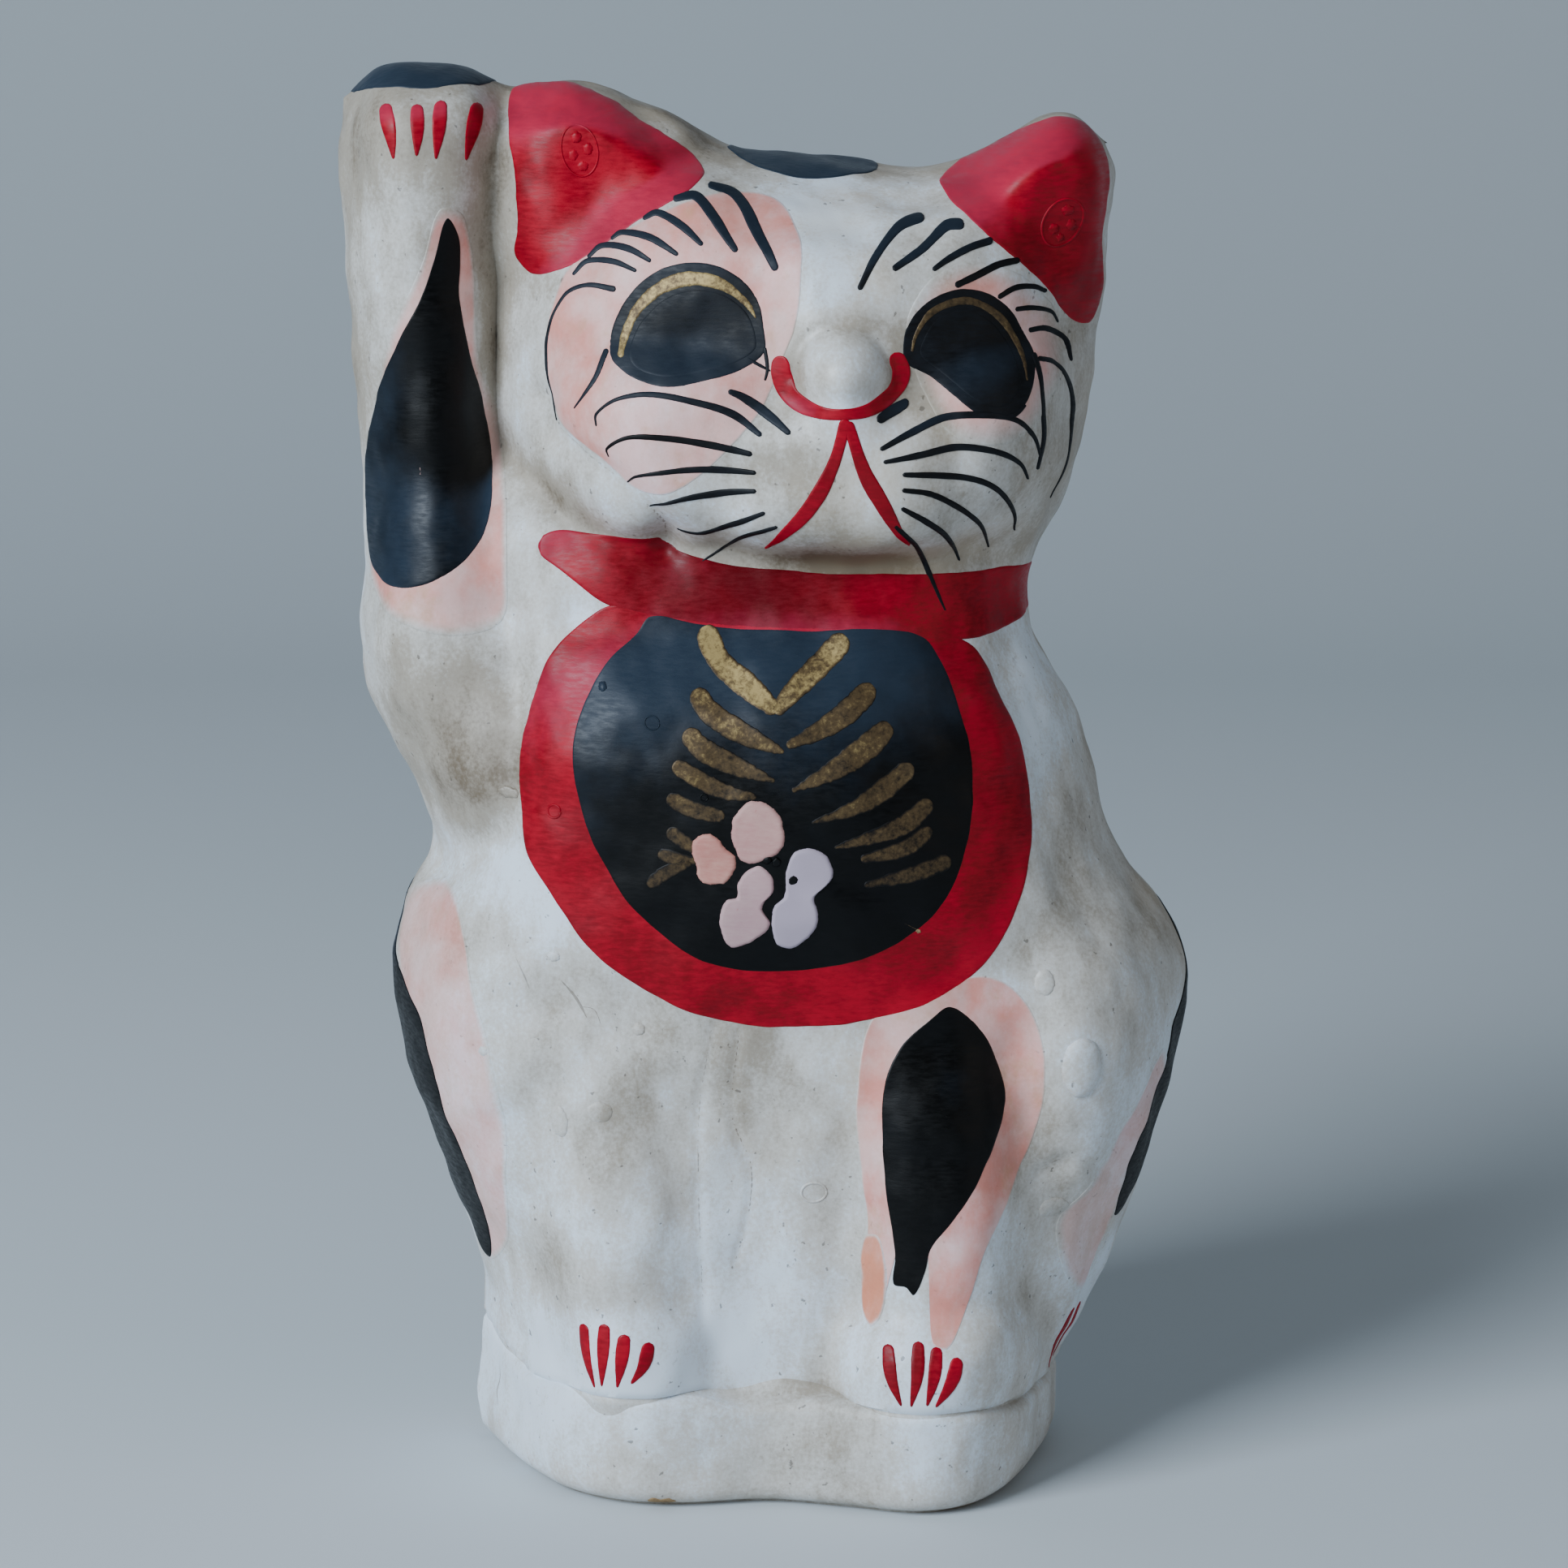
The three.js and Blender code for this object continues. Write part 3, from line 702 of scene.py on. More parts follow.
# Top of the strip that makes the plinth, along x, in front and behind.
LEDGE = [(-52, 25), (-48, 22.5), (-43, 19), (-38, 19.4), (-32, 19.8), (-22, 20), (-13, 19.6), (-5, 17.5),
         (2, 18.5), (9, 19.2), (15, 18.6), (25, 18.2), (35, 18), (43, 16.4), (52, 15.5)]
BACK_LEDGE = [(-52, 25), (-46, 20), (-36, 17), (0, 16.5), (52, 15.5)]


def ledge_at(x, angle):
    return np.where(np.sin(angle) >= 0, through(LEDGE, x), through(BACK_LEDGE, x))


# Places of the front painted lighter or darker: (x, z, half width, half height, how much darker).
# Some are grime. Painted shade darkens the crease between the elbow and the bib and the neck under
# the chin, a darker ring lies round the nose ball, and painted light brightens the lit flank of
# the head beside the raised arm.
GRIME_AND_SHADE_SPOTS = [
    (5, 204, 15, 11, -0.2), (8, 217, 9, 7, -0.6), (-48, 123, 9, 11, 0.65), (-48, 107, 12, 7, -0.65),
    (-43, 186, 4, 26, -0.35), (-31, 170, 8, 7, 0.2), (-26, 160, 12, 7, 0.1), (2, 177, 8, 6, 0.2),
    (14, 160, 16, 5, 0.45), (45, 174, 8, 15, 0.5), (-28, 63, 11, 10, 0.5), (-10, 74, 12, 12, 0.25),
    (64, 88, 9, 16, 0.1), (51, 138, 8, 12, -0.62), (-3, 34, 12, 9, -0.25), (-26, 26, 14, 8, -0.3),
    (-34, 41, 10, 6, 0.42), (29, 24, 14, 9, -0.45), (44, 62, 9, 18, 0.2), (44, 38, 9, 12, -0.1),
    (-60, 226, 14, 10, 0.52), (-68, 196, 5, 26, 0.35), (-60, 134, 12, 10, 0.2), (-34, 88, 7, 6, 0.2),
    (-38, 92, 22, 14, 0.1), (-30, 150, 5, 4, -0.3), (12, 199, 7, 2.5, 0.45), (21.5, 192, 2.5, 6, 0.4),
    (4, 193, 2.5, 5, 0.35), (13, 190, 5, 4, 0.25), (-44, 34, 8, 10, 0.15), (-8, 214, 9, 7, 0.15),
    (26, 214, 8, 6, 0.15), (52.5, 75, 4, 5.5, -0.7), (-2, 70, 8, 14, 0.15), (36, 95, 8, 6, 0.25),
]


def grime_and_shade_at(place, angle, height):
    """How much grime and painted shade the skin has: darker towards the top and lightest around
    the feet, darker in hollows as painted shade, and lighter or darker in the places listed.
    A hollow is where the form lies deeper than the form around it."""
    reach = 0.1
    around = sum(np.abs(form(angle + i * reach, height + j * reach / 4)[..., 1])
                 for i, j in ((1, 0), (-1, 0), (0, 1), (0, -1))) / 4
    # Painted shade: the ground is painted darker where the form lies deeper than the form around it.
    hollow_shade = np.clip((around - np.abs(form(angle, height)[..., 1])) / 3, -0.25, 0.8)
    x, z = place[..., 0], place[..., 2]
    up = through([(0, 0.42), (12, 0.24), (30, 0.1), (60, 0.2), (90, 0.3), (115, 0.38), (150, 0.32),
                  (172, 0.38), (190, 0.42), (212, 0.48), (240, 0.62)], z)
    behind = np.where(place[..., 1] > 0, 0.02, 0)
    spots = sum(more * np.exp(-(((x - mx) / hw) ** 2) - ((z - mz) / hh) ** 2) for mx, mz, hw, hh,
                more in GRIME_AND_SHADE_SPOTS)
    return np.clip(up + 0.5 * hollow_shade + behind + spots * (place[..., 1] <= 0), 0, 1.2)


def tuck(place, angle):
    """How far the skin draws in to stand inside the plinth strip, below the strip's top."""
    low = np.clip((ledge_at(place[..., 0], angle) - place[..., 2]) / 2.5 + 0.3, 0, 1)
    return 2.6 * low * low * (3 - 2 * low)


SHELL_FOOT = 13 / SHOULDER_HEIGHT  # lowest row of the shells, hidden inside the plinth strip


def half_shell(name, node, first_angle, columns=320, rows=270):
    """Outer face: rows from inside the plinth strip to the top edge, closer together near the
    top. Inner face: every sixth point, one wall further in. Along the seam both end at y = 0."""
    up = np.linspace(0, 1, rows)
    height = (SHELL_FOOT + (1 - SHELL_FOOT) * (1 - (1 - up) ** 1.5))[:, None]
    angle = first_angle + np.linspace(0, np.pi, columns)[None, :]
    angle, height = np.broadcast_arrays(angle, height)
    place, normal = form(angle, height), outward(angle, height)
    rise = relief(place, angle)
    outer = place + (rise - tuck(place, angle))[..., None] * normal
    outer[-1] = place[-1] + rise[-1][:, None] * [0, 0, 1]
    some_rows = np.linspace(0, rows - 1, 46).round().astype(int)
    some_columns = np.linspace(0, columns - 1, 54).round().astype(int)
    some = np.ix_(some_rows, some_columns)
    centre = outer[some].mean(axis=1, keepdims=True) * [1, 0, 1]
    inner = outer[some] + (centre - outer[some]) * [0.05, 0.12, 0] - WALL * normal[some]
    inner[..., 1] = np.where(first_angle == 0, np.minimum(inner[..., 1], 0), np.maximum(inner[..., 1], 0))
    inner[:, [0, -1], 1] = outer[some][:, [0, -1], 1]
    index = np.arange(rows * columns).reshape(rows, columns)
    small = rows * columns + np.arange(inner[..., 0].size).reshape(inner.shape[:2])
    triangles = []
    for grid, turned in ((index, False), (small, True)):
        corner = grid[:-1, :-1], grid[:-1, 1:], grid[1:, 1:], grid[1:, :-1]
        for three in ((0, 1, 2), (0, 2, 3)):
            face = np.stack([corner[k] for k in three], -1).reshape(-1, 3)
            triangles.append(face[:, ::-1] if turned else face)
    borders = [(grid[0, :], grid[:, -1], grid[-1, ::-1], grid[::-1, 0]) for grid in (index, small)]
    for fine, rough in zip(*borders):
        near = np.linspace(0, len(rough) - 1, len(fine)).round().astype(int)
        triangles.append(np.stack([fine[1:], fine[:-1], rough[near[:-1]]], -1))
        step = np.flatnonzero(np.diff(near))
        triangles.append(np.stack([fine[step + 1], rough[near[step]], rough[near[step + 1]]], -1))
    points = np.concatenate([outer.reshape(-1, 3), inner.reshape(-1, 3)])
    grime = grime_and_shade_at(place, angle, height).ravel()
    values = {"grime": np.concatenate([grime, np.full(small.size, 0.5)])}
    shell = make_piece(name, [(points, np.concatenate(triangles), values)], WHITE, 50)
    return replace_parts(shell, node)


half_shell("front_half", "front_shell", 0)
half_shell("back_half", "back_shell", np.pi)

# %% [markdown]
# ## The pieces inside
#
# The tapes, the board and the clay are sealed in and keep the shapes they came with. They only need
# a finish. Putting a new material in their slots does that, and leaves their meshes alone.

# %% Finishes of the pieces inside
INSIDE = {
    "right_seam_tape": PAPER, "left_seam_tape": PAPER, "crown_seam_tape": PAPER, "base_board": CARD,
    "clay_weight": CLAY,
}
for name, finish in INSIDE.items():
    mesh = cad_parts[name].data
    mesh.materials.clear()
    mesh.materials.append(finish)
print("pieces inside:", ", ".join(INSIDE))

# %% [markdown]
# ## The plinth strip
#
# A strip of pasted paper runs round the foot. Its plan is a curve of its own: flatter than the
# body at the back, and with a dip between the two forefeet. Its section is a loop, swept once
# round: up the wall, in over the soft ledge to the body, and back down inside.

# %% The plinth strip and the paper under it
PLINTH_FRONT = [(-51, 0), (-46.3, 12), (-41.5, 22), (-35.5, 31), (-26, 37.4), (-16, 39), (0, 37), (13, 40),
                (25, 43.6), (33, 41.8), (39, 36.5), (44, 26), (47.6, 13.5), (50.5, 0)]
PLINTH_BACK = 38  # its depth behind
STRIP_FOOT = 0.8  # height of the strip's lower edge, just above the paper under the foot


def plinth_plan(angle, z, inset=0.0):
    """Place on the strip's wall: x swings from side to side, and y comes from the plan curve.
    The inset moves it in along the plan's normal."""

    def plan(at):
        left, right = through(LEFT_SIDE, z), through(RIGHT_SIDE, z)
        share = (1 - np.cos(at)) / 2
        front = -through(PLINTH_FRONT, -51 + 101.5 * share) * (0.93 + 0.07 * rounded(z, 5))
        back = PLINTH_BACK * np.maximum(0, 1 - np.abs(2 * share - 1) ** 2.5) ** 0.4
        return left + (right - left) * share, np.where(np.sin(at) >= 0, front, back)

    x, y = plan(angle)
    (x_on, y_on), (x_off, y_off) = plan(angle + 0.01), plan(angle - 0.01)
    along = np.hypot(x_on - x_off, y_on - y_off)
    return np.stack([x + inset * (y_off - y_on) / along, y + inset * (x_on - x_off) / along, z + 0 * x], -1)


def plinth_wall(angle, height):
    """The strip's outer face, rounded in at its foot and at its top."""
    angle, z = np.broadcast_arrays(angle, np.asarray(height) * SHOULDER_HEIGHT)
    top = ledge_at(plinth_plan(angle, z)[..., 0], angle)
    inset = 2.4 * (1 - rounded(z - 0.4, 2.6)) + 1.8 * (1 - rounded(top - z, 2))
    return plinth_plan(angle, z, inset)


def strip_relief(place):
    """Relief of the strip: it fades at the foot, where the board stands close behind the paper."""
    return relief(place, 0 * place[..., 0]) * np.clip(place[..., 2] / 8, 0.15, 1)


def plinth_strip(rows=40, columns=420):
    """Closed ring of points: rows go once round the section, columns round the figure."""
    angle = np.broadcast_to(np.linspace(0, 2 * np.pi, columns, endpoint=False), (rows, columns))
    part = np.broadcast_to((np.arange(rows) / rows * 4)[:, None], (rows, columns))
    up, over, down = np.clip(part / 2, 0, 1), np.clip(part - 2, 0, 1), np.clip(part - 3, 0, 1)
    top = ledge_at(plinth_plan(angle, 12.0)[..., 0], angle)
    up = (1 - np.cos(np.pi * up)) / 2
    place = plinth_wall(angle, (STRIP_FOOT + (top - STRIP_FOOT) * up) / SHOULDER_HEIGHT)
    place = place + strip_relief(place)[..., None] * outward(angle, 9 / SHOULDER_HEIGHT, plinth_wall)
    middle = np.exp(-((place[..., 0] / 8) ** 2)) * (np.sin(angle) > 0)
    meet = (top + 0.3 + 4 * middle) / SHOULDER_HEIGHT
    body = on_skin(angle, meet, -0.7)
    place = place + (body - place) * over[..., None]
    place[..., 2] -= 0.8 * middle * np.sin(np.pi * over)
    foot = plinth_plan(angle, STRIP_FOOT + 0 * angle, 3.6)
    place = place + (foot - place) * down[..., None]
    index = np.arange(rows * columns).reshape(rows, columns)
    right, above = np.roll(index, -1, 1), np.roll(index, -1, 0)
    faces = np.stack([index, right, np.roll(right, -1, 0), above], -1).reshape(-1, 4)
    # Painted darker towards the strip's foot, over the ledge to the body and in the middle of the front.
    grime = np.clip(0.1 + 0.25 * (1 - up) ** 3 + 0.25 * over + 0.3 * np.exp(-((place[..., 0] / 22) ** 2)),
                    0, 1)
    return place.reshape(-1, 3), faces, {"grime": grime.ravel()}


strip = make_piece("plinth_strip", [plinth_strip()], WHITE)
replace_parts(strip, "plinth_band")

# %% [markdown]
# ## Paint as thin films
#
# A pool of paint is a closed outline filled with a grid; a stroke is a path with a width. Both
# are laid out flat in the front view and then dropped on the skin. The film is deepest away
# from its border, dips just under the skin at the border, and is closed underneath.

# %% Laying a film on the skin
def around(degrees, z):
    """Angle and height of a place given by degrees round the figure and millimetres up."""
    return np.radians(degrees), np.asarray(z, float) / SHOULDER_HEIGHT


FILM_DIP = 0.08  # how far a film's border lies under the skin, in millimetres
FILM_ROOT = 0.3  # how far its closed underside lies under the skin


def film(flat, border, thickness, rim=0.45, fade=0.0, cover=1.0, place_on=in_front,
         surface=form):
    """Closed solid of a film. Flat is a grid of places, border each one's distance from the
    film's border. The top rises from under the skin to the thickness in a quarter circle. The
    cover is how well the paint hides what is under it, and it can fade towards the border."""
    angle, height = place_on(flat[..., 0], flat[..., 1])
    place, normal = surface(angle, height), outward(angle, height, surface)
    rise = relief(place, angle) if surface is form else strip_relief(place)
    top = rise - FILM_DIP + (thickness + FILM_DIP) * rounded(border, rim)
    outer = place + top[..., None] * normal
    inner = place + (rise - FILM_ROOT)[..., None] * normal
    points, faces = closed_sheet(outer, inner)
    full = np.clip(border / fade, 0, 1) if fade else np.ones(border.shape)
    cover = cover * full * full * (3 - 2 * full)
    # Painted sheen: more where the film faces up and to the left, towards the lamp, and less low down on
    # the figure.
    dust = np.clip(0.05 + 1.6 * normal[..., 2] - 0.5 * normal[..., 0], 0, 1)
    dust = dust * np.clip(place[..., 2] / 130, 0, 1) ** 2
    values = {"grime": grime_and_shade_at(place, angle, height), "cover": cover, "dust": dust}
    values = {key: np.tile(value.ravel(), 2) for key, value in values.items()}
    return points, faces, {**values, "stroke": np.tile(flat.reshape(-1, 2), (2, 1))}


def ragged(share, size, seed):
    """A wandering offset round a border: waves that fit it a whole number of times."""
    dice = np.random.default_rng(seed)
    counts = np.array([5, 9, 14, 23, 37, 60])
    phase = dice.uniform(0, 2 * np.pi, len(counts))
    strength = dice.uniform(0.5, 1, len(counts)) * counts**-0.5
    return size * sum(a * np.sin(2 * np.pi * n * share + b) for n, a, b in zip(counts, strength, phase))


def disc(rings):
    """A square grid bent into a disc: the larger of a point's two coordinates is its ring, 0 in
    the middle and 1 at the border, and the smaller says what share of the way round it lies."""
    side = np.linspace(-1, 1, 2 * rings + 1)
    u, v = np.meshgrid(side, side)
    ring = np.maximum(np.abs(u), np.abs(v))
    safe = np.where(ring == 0, 1, ring)
    beside = np.abs(u) >= np.abs(v)
    eighth = np.where(beside, v / safe * np.sign(u), 2 - u / safe * np.sign(v))
    eighth = eighth + np.where(np.where(beside, u, v) < 0, 4, 0)
    return ring, np.mod(eighth / 8, 1)


def pool(outline, thickness, rings=24, wobble=0.12, seed=1, middle=None, **how):
    """A filled outline: a disc whose rings are the outline shrunk towards the middle, lying
    closer together towards the border, where the film is curved."""
    ring, share = disc(rings)
    curve = smooth_path(outline, 720, closed=True)
    middle = curve.mean(0) if middle is None else np.array(middle, float)
    at = share * (len(curve) - 1)
    edge = np.stack([np.interp(at, np.arange(len(curve)), curve[:, k]) for k in (0, 1)], -1)
    reach = np.linalg.norm(edge - middle, axis=-1)
    edge = middle + (edge - middle) * (1 + ragged(share, wobble, seed) / reach)[..., None]
    ring = np.sin(ring * np.pi / 2)
    flat = middle + ring[..., None] * (edge - middle)
    return film(flat, (1 - ring) * reach, thickness, **how)


def stroke(path, widths, thickness=0.16, across=9, wobble=0.05, seed=1, **how):
    """A brush stroke: a grid along the path, as wide as the widths say along its length, with
    ends that are half round."""
    path = np.array(path, float)
    length = np.linalg.norm(np.diff(path, axis=0), axis=1).sum()
    share = (1 - np.cos(np.linspace(0, np.pi, max(16, int(length / 0.4))))) / 2
    share = 0.5 * share + 0.5 * np.linspace(0, 1, len(share))
    dense = smooth_path(path, 400)
    spine = np.stack([np.interp(share, np.linspace(0, 1, 400), dense[:, k]) for k in (0, 1)], 1)
    tangent = np.gradient(spine, share, axis=0)
    tangent /= np.linalg.norm(tangent, axis=1, keepdims=True)
    sideways = np.stack([-tangent[:, 1], tangent[:, 0]], 1)
    half = 0.5 * through(list(zip(np.linspace(0, 1, len(widths)), widths)), share)
    half = half + 0.5 * ragged(share, wobble, seed)
    ends = rounded(share * length, widths[0] / 2) * rounded((1 - share) * length, widths[-1] / 2)
    half = np.maximum(half * ends, 0.03)
    offset = np.sin(np.linspace(-np.pi / 2, np.pi / 2, across))[None, :]
    flat = spine[:, None, :] + (offset * half[:, None])[..., None] * sideways[:, None, :]
    border = half[:, None] * (1 - np.abs(offset))
    return film(flat, border, thickness, **{"rim": 0.3, **how})


def strokes(rows, **how):
    """Many strokes with the same settings, each with a seed of its own."""
    return [stroke(path, widths, seed=40 + i, **how) for i, (path, widths) in enumerate(rows)]


# %% [markdown]
# ## The paper under the foot
#
# A sheet of paper closes the underside. It could be a flat face with a thickness from Solidify. It
# is a disc made from the same plan curve as the strip, so that the two keep to one outline.

# %% The paper under the foot
def underside(rings=40):
    """A thin disc of the strip's plan, a little smaller, that the figure stands on."""
    ring, share = disc(rings)
    edge = plinth_plan(2 * np.pi * share, 0.4 + 0 * share, 2.0)
    low = ring[..., None] * edge * [1, 1, 0]
    points, faces = closed_sheet(low + [0, 0, 0.78], low)
    return points, faces, {"grime": np.full(len(points), 0.6)}


foot_paper = make_piece("foot_paper", [underside()], WHITE)
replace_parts(foot_paper, "underside_paper")

# %% [markdown]
# ## Washes of pink
#
# The pink is dabbed on first, thin enough for the ground to show through it.

# %% Pink washes
PINK_LIFT = 0.09
make_piece("pink_washes", [
    pool([(-4, 219.5), (2, 218), (5.2, 213), (5.6, 206), (4.5, 198), (2, 192), (-1, 185.5), (-8, 177.5),
          (-15, 172.5), (-22, 172), (-28, 177), (-34, 182), (-36.5, 192), (-35.5, 201), (-33, 208),
          (-25, 213),
          (-13, 218.5)], PINK_LIFT, 34, seed=3, fade=0.5, middle=(-15, 195)),
    pool([(24, 190), (30, 181), (40, 180), (47, 186), (50, 196), (44, 205), (34, 209), (26, 206),
          (22, 198)],
         PINK_LIFT, 24, seed=4, fade=4.5),
    pool([(17, 84), (24, 88), (35, 91), (41, 88.5), (45, 82), (46.2, 73), (44.5, 63), (40, 53), (36, 45),
          (33, 36),
          (30, 29.5), (27.4, 30), (27, 37), (27, 44), (23, 45), (21, 46), (19.2, 38), (18, 33.5),
          (16.5, 33),
          (15.4, 36), (15.6, 47), (15, 58), (14.6, 70)], PINK_LIFT, 36, seed=5, fade=0.5, middle=(26, 66)),
    pool([(-54, 217), (-50.5, 216), (-49, 206), (-49, 194), (-45.5, 182), (-43.5, 170), (-43.5, 156),
          (-46, 148),
          (-56, 147), (-66, 152), (-68, 166), (-66, 182), (-62, 196), (-57, 208)], PINK_LIFT, 30, seed=6,
          fade=2.5),
    pool([(-63, 97), (-57, 104), (-52, 101), (-49.5, 88), (-47, 80), (-44.5, 68), (-44, 56), (-45.5, 42),
          (-49, 36),
          (-52, 50), (-57, 66), (-62, 80)], PINK_LIFT, 44, seed=7, fade=2.0, cover=0.75),
    pool([(68, 74), (64, 68), (58, 58), (53, 51.5), (49.5, 47), (49.5, 41), (51.5, 34), (54.5, 31),
          (57, 38),
          (60.5, 47), (65, 60), (68.5, 70)], PINK_LIFT, 44, seed=8, fade=2.5, cover=0.6),
], PINK)
make_piece("peach_drip", [
    pool([(15.3, 47), (17.5, 47.5), (19.3, 43), (19.4, 37.5), (18.4, 33.6), (16.7, 32.2), (15.2, 34),
          (14.8, 40)],
         0.3, 16, seed=9, rim=1.2, fade=0.8),
], PEACH)

# %% [markdown]
# ## Crimson: ears, collar and bib
#
# The ears are filled to the top edge. The bib is one red disc with the black apron painted
# over its middle, and the collar runs over the bib's top and on round the neck.

# %% Red paint
RED_LIFT = 0.13
RIGHT_EAR = [(-43, 235), (-41, 236.2), (-37, 236.8), (-32, 237), (-26.5, 235), (-20.5, 231.5), (-14.5, 227),
             (-10.5, 222.5), (-13, 219.8), (-18, 217), (-25, 213), (-31.5, 208.8), (-37, 206.3),
             (-39.5, 206.3),
             (-42, 209), (-41.6, 213.5), (-42, 221.5), (-43, 230)]
LEFT_EAR = [(28.5, 221.9), (35.5, 226), (41.5, 229.3), (47, 231.2), (52, 230.6), (56, 227.2), (57.6, 221),
            (57.2, 212.5),
            (56.4, 204), (54.6, 197.5), (51.5, 198), (46, 204.5), (40.5, 209.5), (34.5, 214.5), (30, 218.8)]
BIB = [(-26, 152.5), (-31, 149.5), (-36, 144), (-39.7, 136.5), (-42, 128.5), (-42.2, 120.5), (-40.5, 113),
       (-37, 106.3), (-31.5, 98.5), (-25, 92.3), (-17, 87.6), (-9.5, 84.6), (-1, 83), (6.5, 82.9),
       (13, 83.5),
       (20.5, 85), (27.5, 87.3), (34, 91), (39, 97.5), (42.4, 105), (44, 112.5), (44.2, 120.5), (43, 128),
       (40.5, 134.5), (37, 141), (33, 146), (22, 150), (0, 152), (-16, 153)]
APRON = [(-19.5, 151), (-22, 148), (-26, 144), (-29.2, 139), (-31.2, 134), (-32, 128), (-31.6, 122),
         (-29.7, 115),
         (-26.7, 109), (-23, 103.7), (-18, 99), (-12.5, 95.5), (-6.5, 93.5), (0.5, 92.8), (6.5, 93),
         (12.5, 94.2),
         (18.5, 96.3), (24, 99.3), (28, 103.2), (31, 108), (33, 113.5), (34, 119.5), (34.2, 125),
         (33.3, 131),
         (31.5, 137.3), (29, 142.6), (26.4, 146.8), (23.2, 148.4), (15, 148.8), (6.5, 148.8), (-2, 149.2),
         (-12, 150)]
COLLAR_START, COLLAR_END = 62.5, 298  # degrees round the figure
COLLAR_TOP = [(62.5, 161.9), (63.2, 163), (66, 163.9), (72, 163.6), (81, 163), (88, 161), (95, 159.6),
              (104, 158.7),
              (113, 158.1), (124, 158), (137, 157.6), (152, 157.3), (165, 157), (180, 156.5), (225, 156),
              (284, 157),
              (292, 156.3), (298, 154)]
COLLAR_FOOT = [(62.5, 160.9), (63.2, 159.8), (65.5, 158.5), (70, 156), (77, 152.3), (91, 150), (106, 149),
               (120, 148.4),
               (144, 146.2), (159, 147), (180, 148.5), (225, 148), (284, 149),
               (292, 150), (298, 153.4)]


def collar():
    """The band between its two edge curves, on a grid of degrees round the neck and share up."""
    degrees = np.linspace(COLLAR_START, COLLAR_END, 360)
    along = (degrees - COLLAR_START) / (COLLAR_END - COLLAR_START)
    top, foot = through(COLLAR_TOP, degrees), through(COLLAR_FOOT, degrees)
    top = top + ragged(along, 0.12, 21)
    foot = foot + ragged(along, 0.12, 22)
    share = (1 - np.cos(np.linspace(0, np.pi, 21))) / 2
    z = foot[:, None] + (top - foot)[:, None] * share
    flat = np.stack([np.broadcast_to(degrees[:, None], z.shape), z], -1)
    border = np.minimum(z - foot[:, None], top[:, None] - z)
    border = np.minimum(border, 0.8 * (COLLAR_END - degrees)[:, None])
    # Painted shadow of the chin: the cover drops at the middle of the front, so the crimson turns to its
    # dark other tone.
    chin_shadow = np.exp(-(((degrees - 102) / 24) ** 2))[:, None]
    return film(flat, border, RED_LIFT + 0.02, place_on=around, cover=1 - 0.75 * chin_shadow)


for name, paint in {
    "right_ear_paint": pool(RIGHT_EAR, RED_LIFT, 30, 0.14, 11, middle=(-28, 222)),
    "left_ear_paint": pool(LEFT_EAR, RED_LIFT, 30, 0.12, 12, middle=(47, 216)),
    "bib_paint": pool(BIB, RED_LIFT, 56, 0.14, 13, middle=(0, 118)),
    "collar_paint": collar(),
}.items():
    make_piece(name, [paint], RED)

# %% [markdown]
# ## Black: apron, patches and eyes
#
# A calico cat: black patches on the paws, the crown, the leg and both haunches.

# %% Black pools
BLACK_LIFT = 0.18
FOREARM = [(-53, 215.5), (-51.2, 212.5), (-51, 208), (-51.3, 202), (-50, 193), (-48, 185), (-46.4, 174.5),
           (-46, 168), (-47.6, 162.5), (-52.6, 157.2), (-58.5, 154.6), (-64, 154.6), (-67.4, 158),
           (-68, 165),
           (-67, 177.5), (-64.5, 187), (-60.7, 195), (-57.2, 202.5), (-55, 209)]
LEG = [(30, 86.2), (34.5, 83), (38, 77.5), (39.6, 71.5), (38.4, 65), (35, 58), (30.6, 51), (27, 46),
       (26, 42),
       (24.2, 38), (22.8, 39.3), (20.6, 39.6), (20.8, 44), (20.3, 48), (19.3, 54), (18.8, 64), (19.4, 73.5),
       (22, 79.7), (26.3, 83.7)]
for name, paint in {
    "apron_paint": pool(APRON, BLACK_LIFT, 48, 0.08, 31, middle=(0, 121)),
    "forearm_patch": pool(FOREARM, BLACK_LIFT, 34, 0.14, 32, middle=(-57, 176)),
    "foreleg_patch": pool(LEG, BLACK_LIFT, 30, 0.1, 33, middle=(28, 66)),
}.items():
    make_piece(name, [paint], BLACK)

# %% [markdown]
# ## Patches over an edge
#
# Some patches run over the crown or round a haunch on to the back. An outline in the front view
# would end at the edge, so these have another flat chart: degrees and height for the haunches, and
# the distance from the top edge for the paw and the crown. A Shrinkwrap modifier could also lay a
# patch on, but it has no single nearest place on a sharp edge.

# %% Patches that wrap over an edge
def over_the_top(flatness):
    """Where a patch lies on the top edge: x, and a distance from the edge, forward if it is
    negative. The skin drops by the square of that distance over the flatness."""
    def place_on(x, across):
        angle, height = in_front(x, through(TOP_EDGE, x) - across**2 / flatness)
        return np.where(across > 0, 2 * np.pi - angle, angle), height
    return place_on


